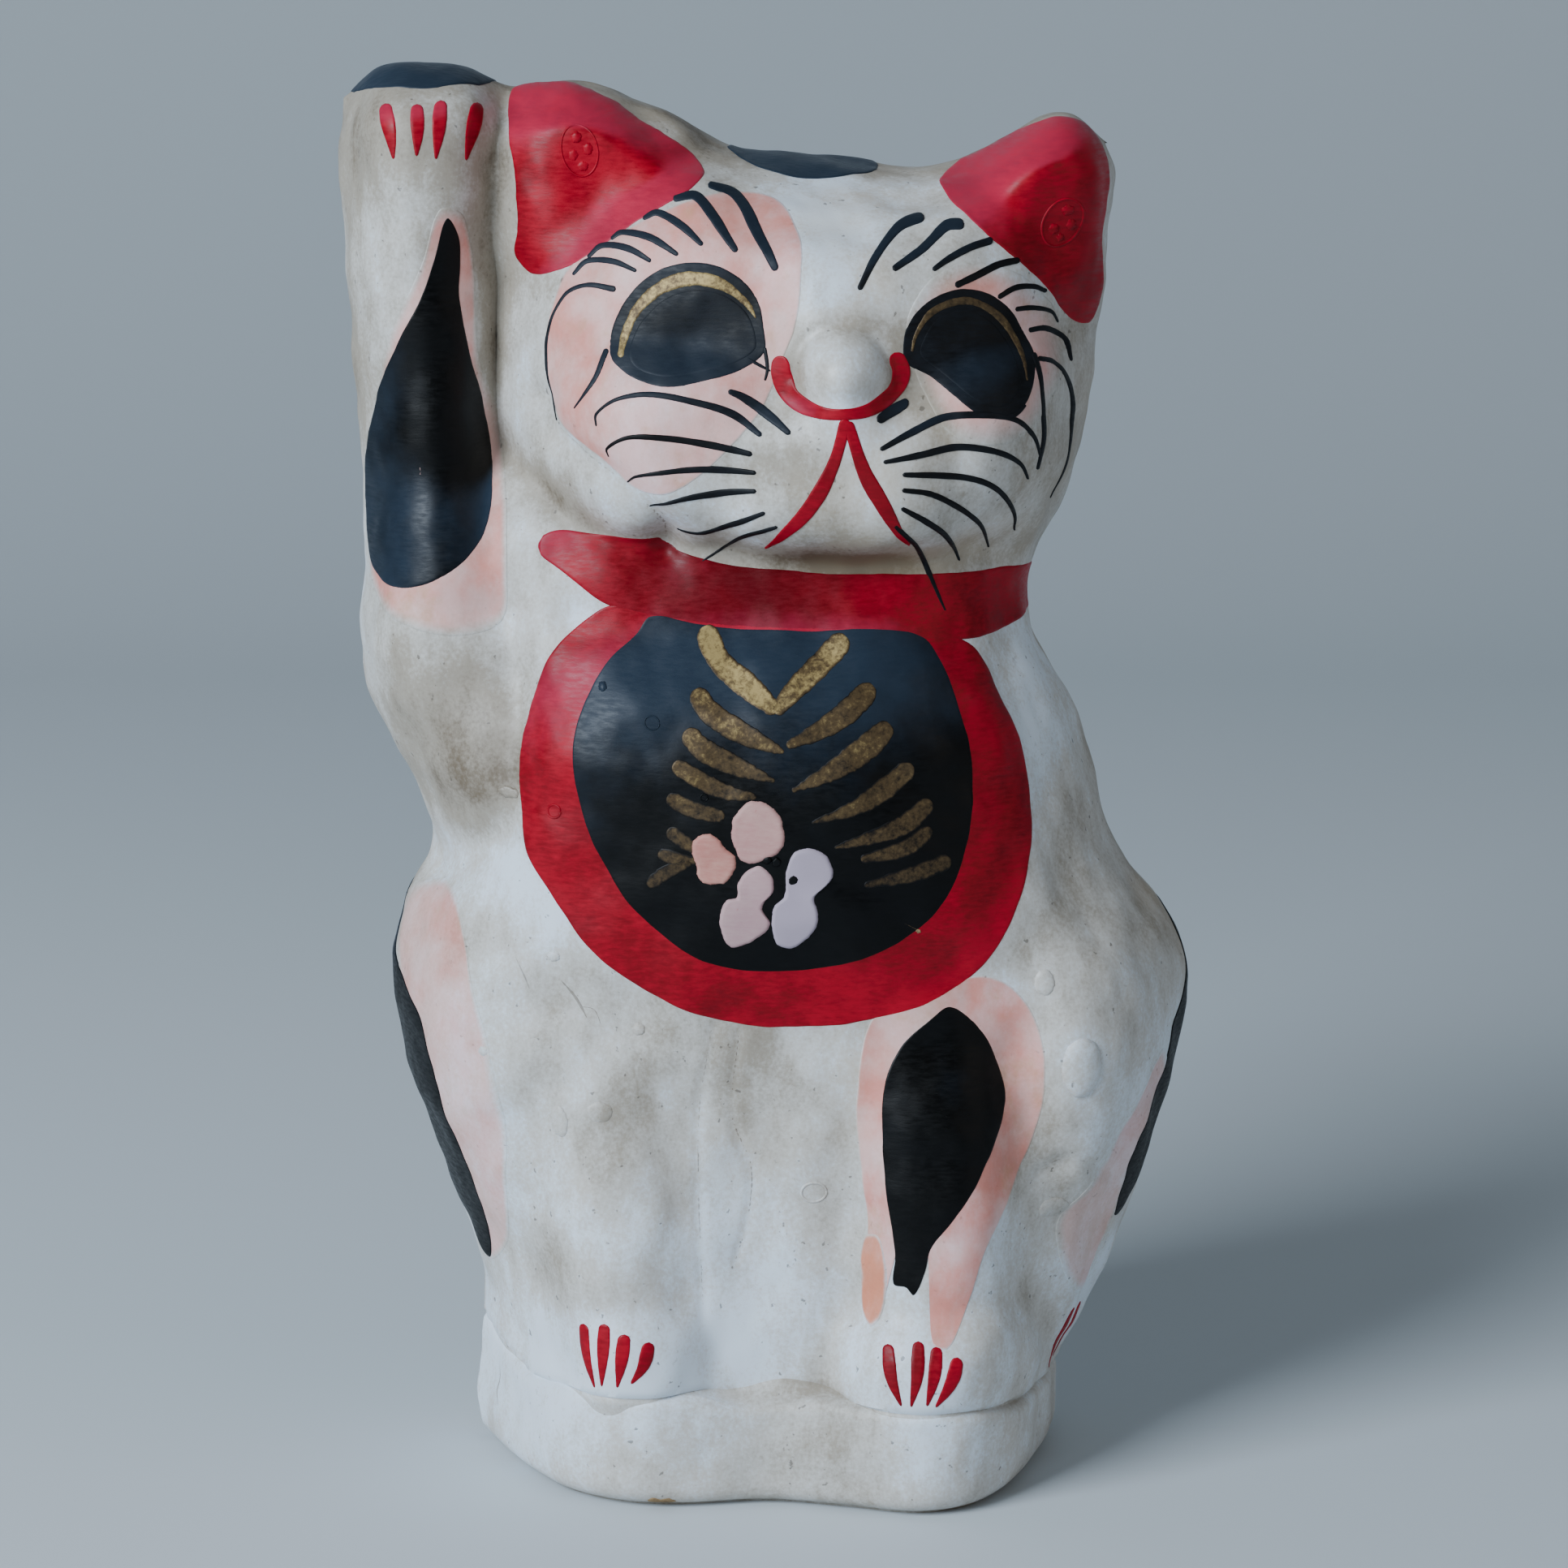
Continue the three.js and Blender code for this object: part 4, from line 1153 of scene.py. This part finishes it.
PAW_TOP = [(-70, 0), (-68.5, -9), (-64.5, -14.5), (-60, -16), (-55, -16), (-51, -14), (-47.5, -10),
           (-45.8, 0),
           (-47, 9), (-51, 14), (-56, 15.5), (-61, 15), (-66, 12.5), (-69, 8)]
CROWN = [(-7, 0), (-6.5, -6), (-4, -14), (-0.5, -19), (4, -21.5), (9, -20.5), (13.5, -17), (17, -11),
         (18.5, -2),
         (17.5, 9), (13, 18), (6, 22), (-1, 19), (-5.5, 10)]
RIGHT_HAUNCH = [(6, 94), (10.5, 89.5), (18, 85.5), (23.5, 81.5), (25.6, 75.5), (26.8, 64), (26.6, 52.5),
                (24, 43.5),
                (18, 36.5), (10, 42), (-2, 53), (-15, 67), (-24, 80), (-23, 92), (-13, 100), (-2, 101)]
LEFT_HAUNCH = [(176, 86), (168, 77), (163.5, 68), (158.5, 59), (157, 52), (159, 44.3), (169, 47), (184, 57),
               (198, 70), (206, 82), (203, 93), (191, 98), (181, 94)]
BACK_PATCH = [(236, 118), (244, 122), (256, 120), (264, 110), (262, 98), (252, 90), (240, 92), (233, 104)]
for name, paint in {
    "paw_top_patch": pool(PAW_TOP, BLACK_LIFT, 26, 0.15, 34, middle=(-58, 0), place_on=over_the_top(65)),
    "crown_patch": pool(CROWN, BLACK_LIFT, 26, 0.15, 35, middle=(6, 0), place_on=over_the_top(165)),
    "right_haunch_patch": pool(RIGHT_HAUNCH, BLACK_LIFT, 40, 0.15, 36, middle=(4, 76), place_on=around),
    "left_haunch_patch": pool(LEFT_HAUNCH, BLACK_LIFT, 40, 0.15, 37, middle=(183, 76), place_on=around),
    "back_patch": pool(BACK_PATCH, BLACK_LIFT, 26, 0.3, 38, place_on=around),
}.items():
    make_piece(name, [paint], BLACK)

# %% [markdown]
# ## The eyes
#
# Each eye is one black pool. A gold crescent is brushed on it inside the outline, and rubbed.

# %% Eyes
RIGHT_EYE = [(-26, 195), (-25.2, 199.5), (-22.3, 204.6), (-18, 207.8), (-13, 209), (-8.5, 208.6),
             (-4.3, 206.4),
             (-1.6, 203.2), (-0.4, 198.8), (-0.3, 194.6), (-4.3, 191.6), (-9.5, 190), (-16, 189),
             (-21.5, 190.3),
             (-25, 192.6)]
LEFT_EYE = [(21.4, 193.5), (22, 198), (24.2, 201.6), (28, 204), (32.3, 204.7), (37.2, 203.3), (41, 199.6),
            (43.4, 194.6), (43.6, 189.6), (41.6, 185.6), (38, 183.9), (34, 184.4), (30.4, 186.9),
            (26, 190.4),
            (22.5, 192.4)]
make_piece("eye_paint", [
    pool(RIGHT_EYE, 0.14, 26, 0.05, 41, middle=(-13, 198.5)),
    pool(LEFT_EYE, 0.14, 26, 0.05, 42, middle=(33, 194.5)),
], INK)
make_piece("eye_balls", [
    pool([(-22.6, 193.4), (-22, 197), (-19.5, 200.8), (-16, 203.6), (-12, 204.6), (-7, 203.8),
          (-3.4, 201.2), (-1.8, 197.6),
          (-1.8, 195), (-5, 192.8), (-10, 191.4), (-16, 190.6), (-20.5, 191.6)], 0.19, 22, 0.05, 45,
          middle=(-12.5, 197.5)),
    pool([(24.2, 194.2), (24.9, 197), (27, 200), (30, 201.2), (33.4, 201), (36.8, 199), (39.2, 195.8),
          (40.6, 192.6),
          (41, 189), (39.6, 186.6), (37, 185.4), (34, 186.2), (30.6, 188.6), (27, 191.6)], 0.19, 20, 0.05,
          46,
         middle=(33, 194)),
], INK)
make_piece("eye_gold", [
    stroke([(-24, 193.5), (-23.2, 197.4), (-21, 201.8), (-17.2, 205), (-12.5, 206.3), (-7.5, 205.4),
            (-3.6, 202.6),
            (-1.8, 200)], [1.1, 1.6, 2, 2.4, 2.5, 2.2, 1.4, 0.5], 0.24, 11, 0.25, 43,
           cover=0.85),
    stroke([(22.9, 194.6), (23.7, 197.3), (25.9, 200.6), (29.2, 202.3), (32.8, 202.6), (36.9, 200.7),
            (39.9, 197.2),
            (41.5, 193.4), (42.2, 189.5)], [0.5, 0.9, 1.3, 1.4, 1.3, 1.4, 1.3, 0.9, 0.4], 0.24, 9, 0.15, 44,
           cover=0.45),
], GOLD)

# %% [markdown]
# ## Lashes and whiskers
#
# Each is one stroke of a fine brush, pressed down at its thick part and lifted off at its tip.

# %% Lashes
LASHES = [
    ([(-10, 220.5), (-5.5, 219), (-2.5, 215), (1.5, 207.5)], [0.9, 1.8, 1.9, 1.3]),
    ([(-15.5, 218.5), (-12, 219), (-9, 216), (-5, 210.5)], [0.9, 1.6, 1.7, 1.1]),
    ([(-20.5, 215.5), (-18, 216.5), (-14, 214.5), (-10.5, 211.5)], [0.8, 1.3, 1.4, 0.9]),
    ([(-26, 212.5), (-24, 213.5), (-19, 212.5), (-14.5, 210)], [0.7, 1.2, 1.3, 0.8]),
    ([(-30, 209.5), (-27.5, 211.5), (-23, 211), (-19, 209)], [0.7, 1.1, 1.2, 0.8]),
    ([(-32.5, 206.5), (-30, 209), (-25.5, 209), (-21.5, 207.5)], [0.7, 1, 1.1, 0.7]),
    ([(-25, 204.5), (-30, 205), (-33.5, 203), (-36, 196), (-36, 189.5), (-35, 182.5)],
     [1.2, 0.9, 0.6, 0.6, 0.5, 0.3]),
    ([(-26.2, 195), (-28, 190), (-31, 185)], [1.1, 0.8, 0.3]),
    ([(-0.4, 195.5), (0, 192), (-0.5, 190)], [0.8, 0.8, 0.5]),
    ([(-3.4, 193.6), (-1.5, 192.6), (0.6, 191.6)], [0.5, 0.7, 0.4]),
    ([(14.5, 204.5), (17, 209), (21, 214), (25.5, 216)], [0.9, 1.3, 1.5, 2]),
    ([(20, 207.5), (24.5, 210.5), (29, 214.5), (32, 215)], [1, 1.4, 1.5, 1.8]),
    ([(26.5, 207.5), (29.5, 209.5), (33.5, 211.5), (37, 212.5)], [0.8, 1.2, 1.3, 1.3]),
    ([(30, 205), (33.5, 206.5), (38, 208.5), (41.5, 209)], [1.1, 1.3, 1.3, 1.1]),
    ([(37.5, 203), (40.5, 204.5), (44, 204.5), (46.5, 203.5)], [1, 1.1, 1, 0.7]),
    ([(40.5, 201), (44, 201), (47.5, 200), (49, 198)], [0.9, 1, 0.8, 0.5]),
    ([(43, 197.5), (46.5, 197.5), (50, 195.5), (51, 191.5)], [0.9, 1, 0.8, 0.4]),
    ([(44, 193), (47.5, 192), (50.3, 188.5), (51.4, 183), (50.4, 174.5), (47.8, 168)],
     [0.9, 0.9, 0.7, 0.6, 0.5, 0.3]),
    ([(43.3, 194), (45, 188.5), (45.5, 180.5), (44.5, 174.5)], [1.1, 1, 1, 0.6]),
    ([(38.5, 184), (40, 184.5), (41.8, 185.8)], [0.8, 0.9, 0.5]),
]
make_piece("lashes", strokes(LASHES, thickness=0.22), INK)

# %% [markdown]
# ## Whiskers
#
# The whiskers are longer strokes of the same brush. Each could be a curve with a tapered bevel, but
# a bevel is a round wire, and paint is flat and stays on the skin.

# %% Whiskers
WHISKERS = [
    ([(-6.5, 188.5), (-4, 187.5), (0.5, 184.5), (3.5, 182)], [0.9, 1.6, 1.6, 0.9]),
    ([(-27.5, 182.5), (-27.5, 184.5), (-24.5, 187), (-19.5, 188), (-13, 187), (-6, 185), (-1, 181.5)],
     [0.4, 0.7, 1, 1.1, 1.2, 1.4, 0.9]),
    ([(-26, 177.5), (-26, 179), (-22.5, 181), (-16.5, 181), (-9.5, 180), (-2.5, 178.5)],
     [0.4, 0.8, 1.1, 1.2, 1.3, 0.9]),
    ([(-23.5, 173), (-21.5, 174.5), (-16.5, 175.5), (-10, 176), (-2, 175.5)], [0.4, 0.8, 1.1, 1.2, 0.8]),
    ([(-19.5, 169), (-15, 171), (-9, 172), (-2, 172.5)], [0.3, 0.8, 1.2, 0.8]),
    ([(-15, 165), (-11, 165.5), (-5.5, 167), (-0.5, 169)], [0.3, 0.7, 1, 0.7]),
    ([(-11, 159.6), (-8, 161.5), (-4, 164.5), (1.5, 166.5)], [0.3, 0.6, 0.9, 0.7]),
    ([(17.5, 184), (19.5, 185.2), (22.5, 186.5)], [1.5, 1.8, 1.5]),
    ([(18, 179.5), (23, 182), (28.5, 184), (34.5, 184.5), (40, 183.5), (43.5, 180.5), (45, 176.5)],
     [0.8, 1.2, 1.2, 1.2, 1, 0.8, 0.4]),
    ([(18.5, 177.5), (24.5, 178.5), (31, 179.5), (37, 178.5), (41.5, 176), (43, 173)],
     [0.7, 1.1, 1.2, 1.1, 0.9, 0.4]),
    ([(21.5, 175.5), (28, 175), (34, 174), (38, 171.5), (41, 167), (41.5, 163)],
     [0.8, 1.1, 1.1, 1, 0.8, 0.4]),
    ([(21.5, 173), (26.5, 172), (31.5, 169), (35, 165.5), (37, 160.5)], [0.8, 1, 1, 0.8, 0.4]),
    ([(21.5, 170), (25.5, 167.5), (29, 164.5), (32, 159)], [0.8, 1.1, 0.9, 0.4]),
    ([(20.5, 167), (24, 163), (27, 156.5), (29.5, 151)], [0.9, 0.9, 0.9, 0.5]),
]
make_piece("whiskers", strokes(WHISKERS, thickness=0.24), INK)

# %% [markdown]
# ## Nose, mouth and claws
#
# The nose is a bead of the form itself. Only its lower rim is painted, in one U-shaped stroke.

# %% Red strokes
make_piece("nose_and_mouth", strokes([
    ([(2.4, 194.2), (2.3, 191), (4, 187.6), (8, 185.6), (12.5, 185.3), (16.5, 186), (19.8, 188.4),
      (21, 191.5),
      (20, 194.6)], [3, 3.5, 3, 2.2, 1.9, 2.2, 3, 3.3, 2.6]),
    ([(12.6, 184.6), (10.5, 177), (6.5, 169.5), (1.5, 164), (-0.7, 161.8)], [2, 2, 2.7, 2.2, 0.4]),
    ([(12.8, 184.2), (15.5, 176), (18.5, 170.5), (21, 166), (23.2, 162.8)], [1.8, 2.1, 2.7, 2.2, 0.5]),
], thickness=0.18, across=13), RED)

CLAWS = {
    "right_paw_claws": [
        [(-62.5, 233.5), (-61.5, 229.5), (-61, 225)], [(-57.5, 233.5), (-57.3, 229.5), (-57.5, 225.5)],
        [(-53.8, 234), (-54, 229.5), (-54.5, 225)], [(-48.5, 233.5), (-49, 229.5), (-49.8, 224.7)],
    ],
    "right_foot_claws": [
        [(-31, 32.3), (-31, 28), (-29.4, 21.5)], [(-27.2, 32.8), (-27.6, 27.5), (-28, 22)],
        [(-24, 31.2), (-24.5, 27), (-25.3, 22)], [(-20.2, 29.8), (-21, 26), (-23, 22.8)],
    ],
    "left_foot_claws": [
        [(20, 30), (20.6, 25), (22.2, 20)], [(25, 30.6), (24.8, 25.5), (23.8, 20)],
        [(28, 29.8), (27.6, 25.5), (26.4, 20.2)], [(31.4, 28.2), (30.4, 24.5), (27.8, 20)],
    ],
    "left_hind_claws": [  # degrees round the figure, and height
        [(156, 28.5), (158, 23), (160.5, 17)], [(161, 28.5), (162.5, 23), (164.5, 18)],
    ],
}
for name, paths in CLAWS.items():
    how = {"place_on": around} if name == "left_hind_claws" else {}
    rows = [(path, [1.9, 2.3, 1.6, 0.4]) for path in paths]
    make_piece(name, strokes(rows, thickness=0.15, **how), RED)

# %% [markdown]
# ## The ornament on the apron
#
# Pine needles in worn gold, in pairs down the apron, and plum petals dabbed on over them. The
# gold gets thinner from pair to pair as the brush runs dry, so each pair covers less.

# %% Gold needles
NEEDLES = [
    ([(-10.6, 149.6), (-8.1, 144.4), (-3.5, 140.4), (1.6, 136)], [4.4, 4.1, 4.3, 2.6], 1),
    ([(12.9, 147.6), (8.3, 143.3), (4.2, 139.4), (1, 135.8)], [4.2, 4.1, 3.8, 2.4], 0.85),
    ([(-12, 140), (-9.8, 136.5), (-4.4, 133), (2.7, 129.8)], [3.6, 4.1, 3.5, 1.1], 0.6),
    ([(17.2, 140), (12.9, 136), (8, 133), (2.9, 130.8)], [3.6, 4.1, 3.2, 1.4], 0.46),
    ([(-13.6, 133.5), (-10.9, 130.5), (-6, 128), (1.2, 125.2)], [3.4, 4.1, 3.3, 0.9], 0.5),
    ([(19.9, 134), (16.1, 130.5), (10.7, 127), (3.8, 123.6)], [3.6, 4.5, 3.2, 0.9], 0.42),
    ([(-15.7, 128), (-11.4, 125.5), (-7.1, 123.5), (-1.8, 122.6)], [2.9, 3.3, 2.9, 1.4], 0.4),
    ([(23.7, 127.5), (19.4, 124), (14.5, 121), (7, 118.4)], [3.3, 3.9, 2.6, 0.8], 0.32),
    ([(-16.8, 122.5), (-12.5, 120.5), (-7, 119.3)], [2.9, 3.2, 2.4], 0.3),
    ([(26.9, 121.5), (22.6, 118), (17.2, 116), (10.7, 114.2)], [3.2, 3.6, 2.6, 0.9], 0.3),
    ([(-16.8, 117), (-13, 114.5), (-9.8, 113)], [2.8, 2.7, 1.4], 0.24),
    ([(26.9, 117), (22.6, 114), (15, 112.2)], [2.7, 3.1, 1.5], 0.26),
    ([(-18.4, 113), (-14.1, 112), (-10.9, 112)], [2.7, 2.5, 1.2], 0.2),
    ([(-20.1, 107.3), (-16.8, 109.8), (-12.5, 111.8)], [2.4, 2.7, 1.6], 0.18),
    ([(30.2, 111.5), (23.7, 109.5), (15.6, 107.8)], [3.2, 3, 1.2], 0.22),
]
make_piece("gold_needles", [
    stroke(path, widths, 0.24, 19, 0.3, 70 + i, fade=0.7, cover=cover)
    for i, (path, widths, cover) in enumerate(NEEDLES)
], GOLD)

# %% [markdown]
# ## Plum petals
#
# The petals are thick dabs of pale paint with a round rim. They could be flattened spheres.
# As pools they lie on the curved apron, and two that ran together are one outline.

# %% Plum petals
# Each is an outline, its middle, and how pink it is. Two are pairs that ran together.
PETALS = [
    ([(-6, 117.2), (-5.5, 119.7), (-2.5, 122.1), (0.5, 121.2), (2.5, 118.2), (2.6, 114.9), (1, 113),
      (-2, 111.7),
      (-4.2, 111.9), (-5.6, 114.2)], (-1.8, 116.7), 0.8),
    ([(-12.6, 114.2), (-11.5, 116.2), (-9, 116.3), (-7, 114.3), (-5.2, 112.1), (-6, 109.3), (-8, 108),
      (-11, 108.3),
      (-12, 111.2)], (-9, 112.1), 1.0),
    ([(-5, 108.2), (-3.6, 110.3), (-1.5, 111.2), (0.6, 109.7), (0.9, 107.1), (-1, 104.3), (0.4, 101.3),
      (-2, 98.7),
      (-6, 97.1), (-7.6, 99.5), (-8, 102.7), (-7, 105.3), (-5.2, 105.9)], (-3.2, 104.5), 0.55),
    ([(3, 110.7), (4.5, 113.7), (7.5, 114.3), (10, 112.3), (10.5, 109.3), (7.6, 105.9), (8.2, 103.1),
      (7.5, 100.1),
      (4.5, 97.3), (1.5, 97.7), (0.5, 101.7), (1, 104.3), (2.6, 106.3)], (4.6, 105.5), 0.1),
]
make_piece("plum_petals", [
    pool(outline, 0.6, 18, 0.2, 90 + i, middle, rim=0.8, cover=pinkness)
    for i, (outline, middle, pinkness) in enumerate(PETALS)
], PETAL)
make_piece("petal_chips", [
    pool([(3.3, 109.3), (4.2, 109.9), (5, 109.2), (4.6, 108.3), (3.5, 108.2)], 0.66, 6, 0.1, 97, rim=0.2),
    pool([(0.6, 112), (1.3, 112.8), (2.1, 112.2), (1.8, 111.3), (0.9, 111.2)], 0.66, 6, 0.1, 98, rim=0.2),
], BLACK)

# %% [markdown]
# ## Blisters, cracks and stains
#
# Where the ground came off the paper it stands up in blisters. Hairlines and smudges are films
# too, so thin that they only tint the ground.

# %% Blisters
def ring_round(x, z, half_width, half_height, width, turn=0.0, **how):
    """The raised rim of a burst blister: a stroke that runs round an ellipse."""
    at = np.linspace(0, 2.04 * np.pi, 17)
    across, up = half_width * np.cos(at), half_height * np.sin(at)
    path = np.stack([x + across * np.cos(turn) - up * np.sin(turn),
                     z + across * np.sin(turn) + up * np.cos(turn)], 1)
    return stroke(path, [width] * 4, **how)


def dome(x, z, half_width, half_height, rise, seed=1):
    """A round blister."""
    at = np.linspace(0, 2 * np.pi, 11)[:-1]
    outline = np.stack([x + half_width * np.cos(at), z + half_height * np.sin(at)], 1)
    return pool(outline, rise, 10, 0.15, seed, rim=min(half_width, half_height))


make_piece("blisters", [
    dome(52.5, 75, 3.6, 5.3, 1.1, 1),
    dome(46, 89.5, 1.7, 2.2, 0.45, 2), dome(-35, 66.5, 1.6, 2.7, 0.45, 3),
    dome(-28, 68.5, 2.2, 1.7, 0.3, 4),
    dome(-21.5, 82.5, 1.1, 1.1, 0.4, 5), dome(-47.5, 77.5, 0.9, 0.9, 0.3, 6),
    dome(-35.5, 94.5, 1.1, 0.9, 0.3, 7),
    ring_round(7.5, 54, 2.2, 1.7, 0.5, 0.1, thickness=0.18), dome(48.5, 49.5, 2.6, 1.8, 0.35, 8),
    dome(-44, 121, 1.6, 1.2, 0.4, 9),
], WHITE)
make_piece("paint_bubbles", [
    ring_round(-31, 226.5, 3, 4.4, 0.5, 0.2, thickness=0.3), dome(-31.5, 228.6, 1, 1.1, 0.45, 10),
    dome(-29.6, 226.6, 0.9, 1.1, 0.45, 11), dome(-32, 225.6, 0.9, 1, 0.4, 12),
    dome(-30.4, 223.8, 1, 0.9, 0.4, 13),
    ring_round(49, 214.5, 3.2, 4, 0.5, -0.5, thickness=0.3), dome(49.8, 216.4, 1.1, 1, 0.45, 14),
    dome(47.7, 213.4, 1, 0.9, 0.45, 15), dome(50.6, 214, 0.9, 1, 0.4, 16),
    dome(48.9, 212, 0.7, 0.7, 0.4, 17),
    ring_round(-35.5, 119, 1.1, 1.1, 0.5, 0, thickness=0.32),
], RED)
make_piece("apron_bubbles", [
    ring_round(-19, 134.3, 1.2, 1.1, 0.4, 0, thickness=0.36), dome(-27, 139.5, 0.8, 0.9, 0.5, 18),
    dome(-0.2, 112.3, 0.9, 0.8, 0.6, 19), ring_round(-10.5, 122.5, 0.6, 0.6, 0.4, 0, thickness=0.4),
], BLACK)
make_piece("apron_crack", [
    stroke([(10.5, 119), (12, 112.5), (16.4, 106.5), (21, 102), (24.6, 99.9)], [0.15, 0.22, 0.22, 0.3],
           0.23, 5, 0.06, 160),
    pool([(24.2, 99.8), (24.6, 100.1), (25, 99.9), (25.1, 99.5), (24.6, 99.3)], 0.24, 6, 0.08, 161,
         rim=0.2),
], CARD)

# %% [markdown]
# ## Cracks and stains
#
# Old figures have hairlines where the paper moved, and stains in them. They could be drawn in the
# material, but a stroke can be put exactly where the real one runs.

# %% Cracks and stains
STAINS = [
    ([(-35, 182), (-30, 177.3), (-25, 173.6)], 0.5, 0.35), ([(-20, 169.6), (-17.2, 166), (-17, 162)], 0.7,
                                                            0.6),
    ([(-9.5, 82.5), (-11.5, 68), (-11.5, 49.5), (-11, 33)], 0.3, 0.4),
    ([(-5, 81.5), (-6, 67.5), (-3, 58.5), (-3.5, 49), (-5.5, 42)], 0.3, 0.65),
    ([(-34.5, 90.5), (-32, 87.5), (-30, 84)], 0.6, 0.6), ([(-42, 94), (-40.5, 91), (-39.6, 88.5)], 0.4,
                                                          0.5),
    ([(-32, 86), (-29, 85.6), (-27.6, 82.6)], 0.35, 0.7), ([(44, 83), (45.5, 77), (44, 71)], 0.4, 0.3),
    ([(46, 55.5), (49, 58), (54, 57.4), (58, 54)], 0.4, 0.5),
]
PLINTH_CRACKS = [  # degrees round the figure, and height
    ([(21.4, 16.6), (22.6, 14.2), (21.8, 11.8), (23, 9.2)], 0.6, 0.8),
]


def hairlines(rows, seed, **how):
    return [stroke(path, [width / 2, width, width, width / 2], 0.04, 5, 0.12, seed + i, cover=cover, **how)
            for i, (path, width, cover) in enumerate(rows)]


make_piece("cracks", hairlines(STAINS, 110), STAIN)
make_piece("plinth_cracks", hairlines(PLINTH_CRACKS, 130, place_on=around, surface=plinth_wall), STAIN)
make_piece("bare_chip", [
    pool([(-20.6, 1.3), (-19.6, 2.2), (-18.2, 1.9), (-16.6, 2.1), (-15.6, 1.3), (-17, 0.9), (-19, 0.9)],
         0.05, 8, 0.15, 140,
         surface=plinth_wall),
], CARD)

# %% [markdown]
# ## Camera, floor and light
#
# The figure is looked at from just above the height of its ears, through a long lens. One lamp at the
# left stands for a window, and a weak one lifts the shadows. The floor curves up behind it, as a
# paper backdrop does, so that nothing but the figure catches the eye.

# %% Camera, floor and light
camera_data = bpy.data.cameras.new("camera")
camera_data.sensor_width, camera_data.lens = 36, 103.9
camera = bpy.data.objects.new("camera", camera_data)
camera.location = (0.0026, -0.76815, 0.25295)
camera.rotation_euler = (np.radians(80), 0, 0)
bpy.context.scene.collection.objects.link(camera)
bpy.context.scene.camera = camera


def lamp(name, place, aim, size, power, colour):
    """A soft square light that faces a point."""
    data = bpy.data.lights.new(name, "AREA")
    data.shape, data.size, data.energy, data.color = "SQUARE", size, power, colour
    light = bpy.data.objects.new(name, data)
    light.location = place
    light.rotation_euler = (Vector(aim) - Vector(place)).to_track_quat("-Z", "Y").to_euler()
    bpy.context.scene.collection.objects.link(light)


lamp("window", (-1.05, -1.1, 0.85), (0, 0, 0.12), 0.8, 42, (0.8, 0.9, 1.0))
lamp("fill", (1.3, -0.9, 0.7), (0, 0, 0.12), 1.2, 3, (1.0, 0.93, 0.88))
world = bpy.data.worlds.new("room")
bpy.context.scene.world = world
world.use_nodes = True
world.node_tree.nodes["Background"].inputs["Color"].default_value = srgb(205, 218, 226)
world.node_tree.nodes["Background"].inputs["Strength"].default_value = 0.22

# A sheet of pale paper that lies flat and then curves up behind, so that no horizon shows.
turn = np.linspace(0, np.pi / 2, 24)
profile = np.array([(-3, 0), *zip(0.9 + 0.8 * np.sin(turn), 0.8 - 0.8 * np.cos(turn)), (1.7, 4)])
sheet_points = [(x, y, z) for x in (-4, 4) for y, z in profile]
count = len(profile)
sheet_faces = [(i, i + count, i + count + 1, i + 1) for i in range(count - 1)]
floor_mesh = bpy.data.meshes.new("floor")
floor_mesh.from_pydata(sheet_points, [], sheet_faces)
floor_mesh.polygons.foreach_set("use_smooth", np.ones(len(sheet_faces), bool))
floor = bpy.data.objects.new("floor", floor_mesh)
bpy.context.scene.collection.objects.link(floor)
floor_material, _, floor_shader = new_material("pale floor", 0.8)
floor_shader.inputs["Base Color"].default_value = srgb(204, 212, 218)
floor_mesh.materials.append(floor_material)
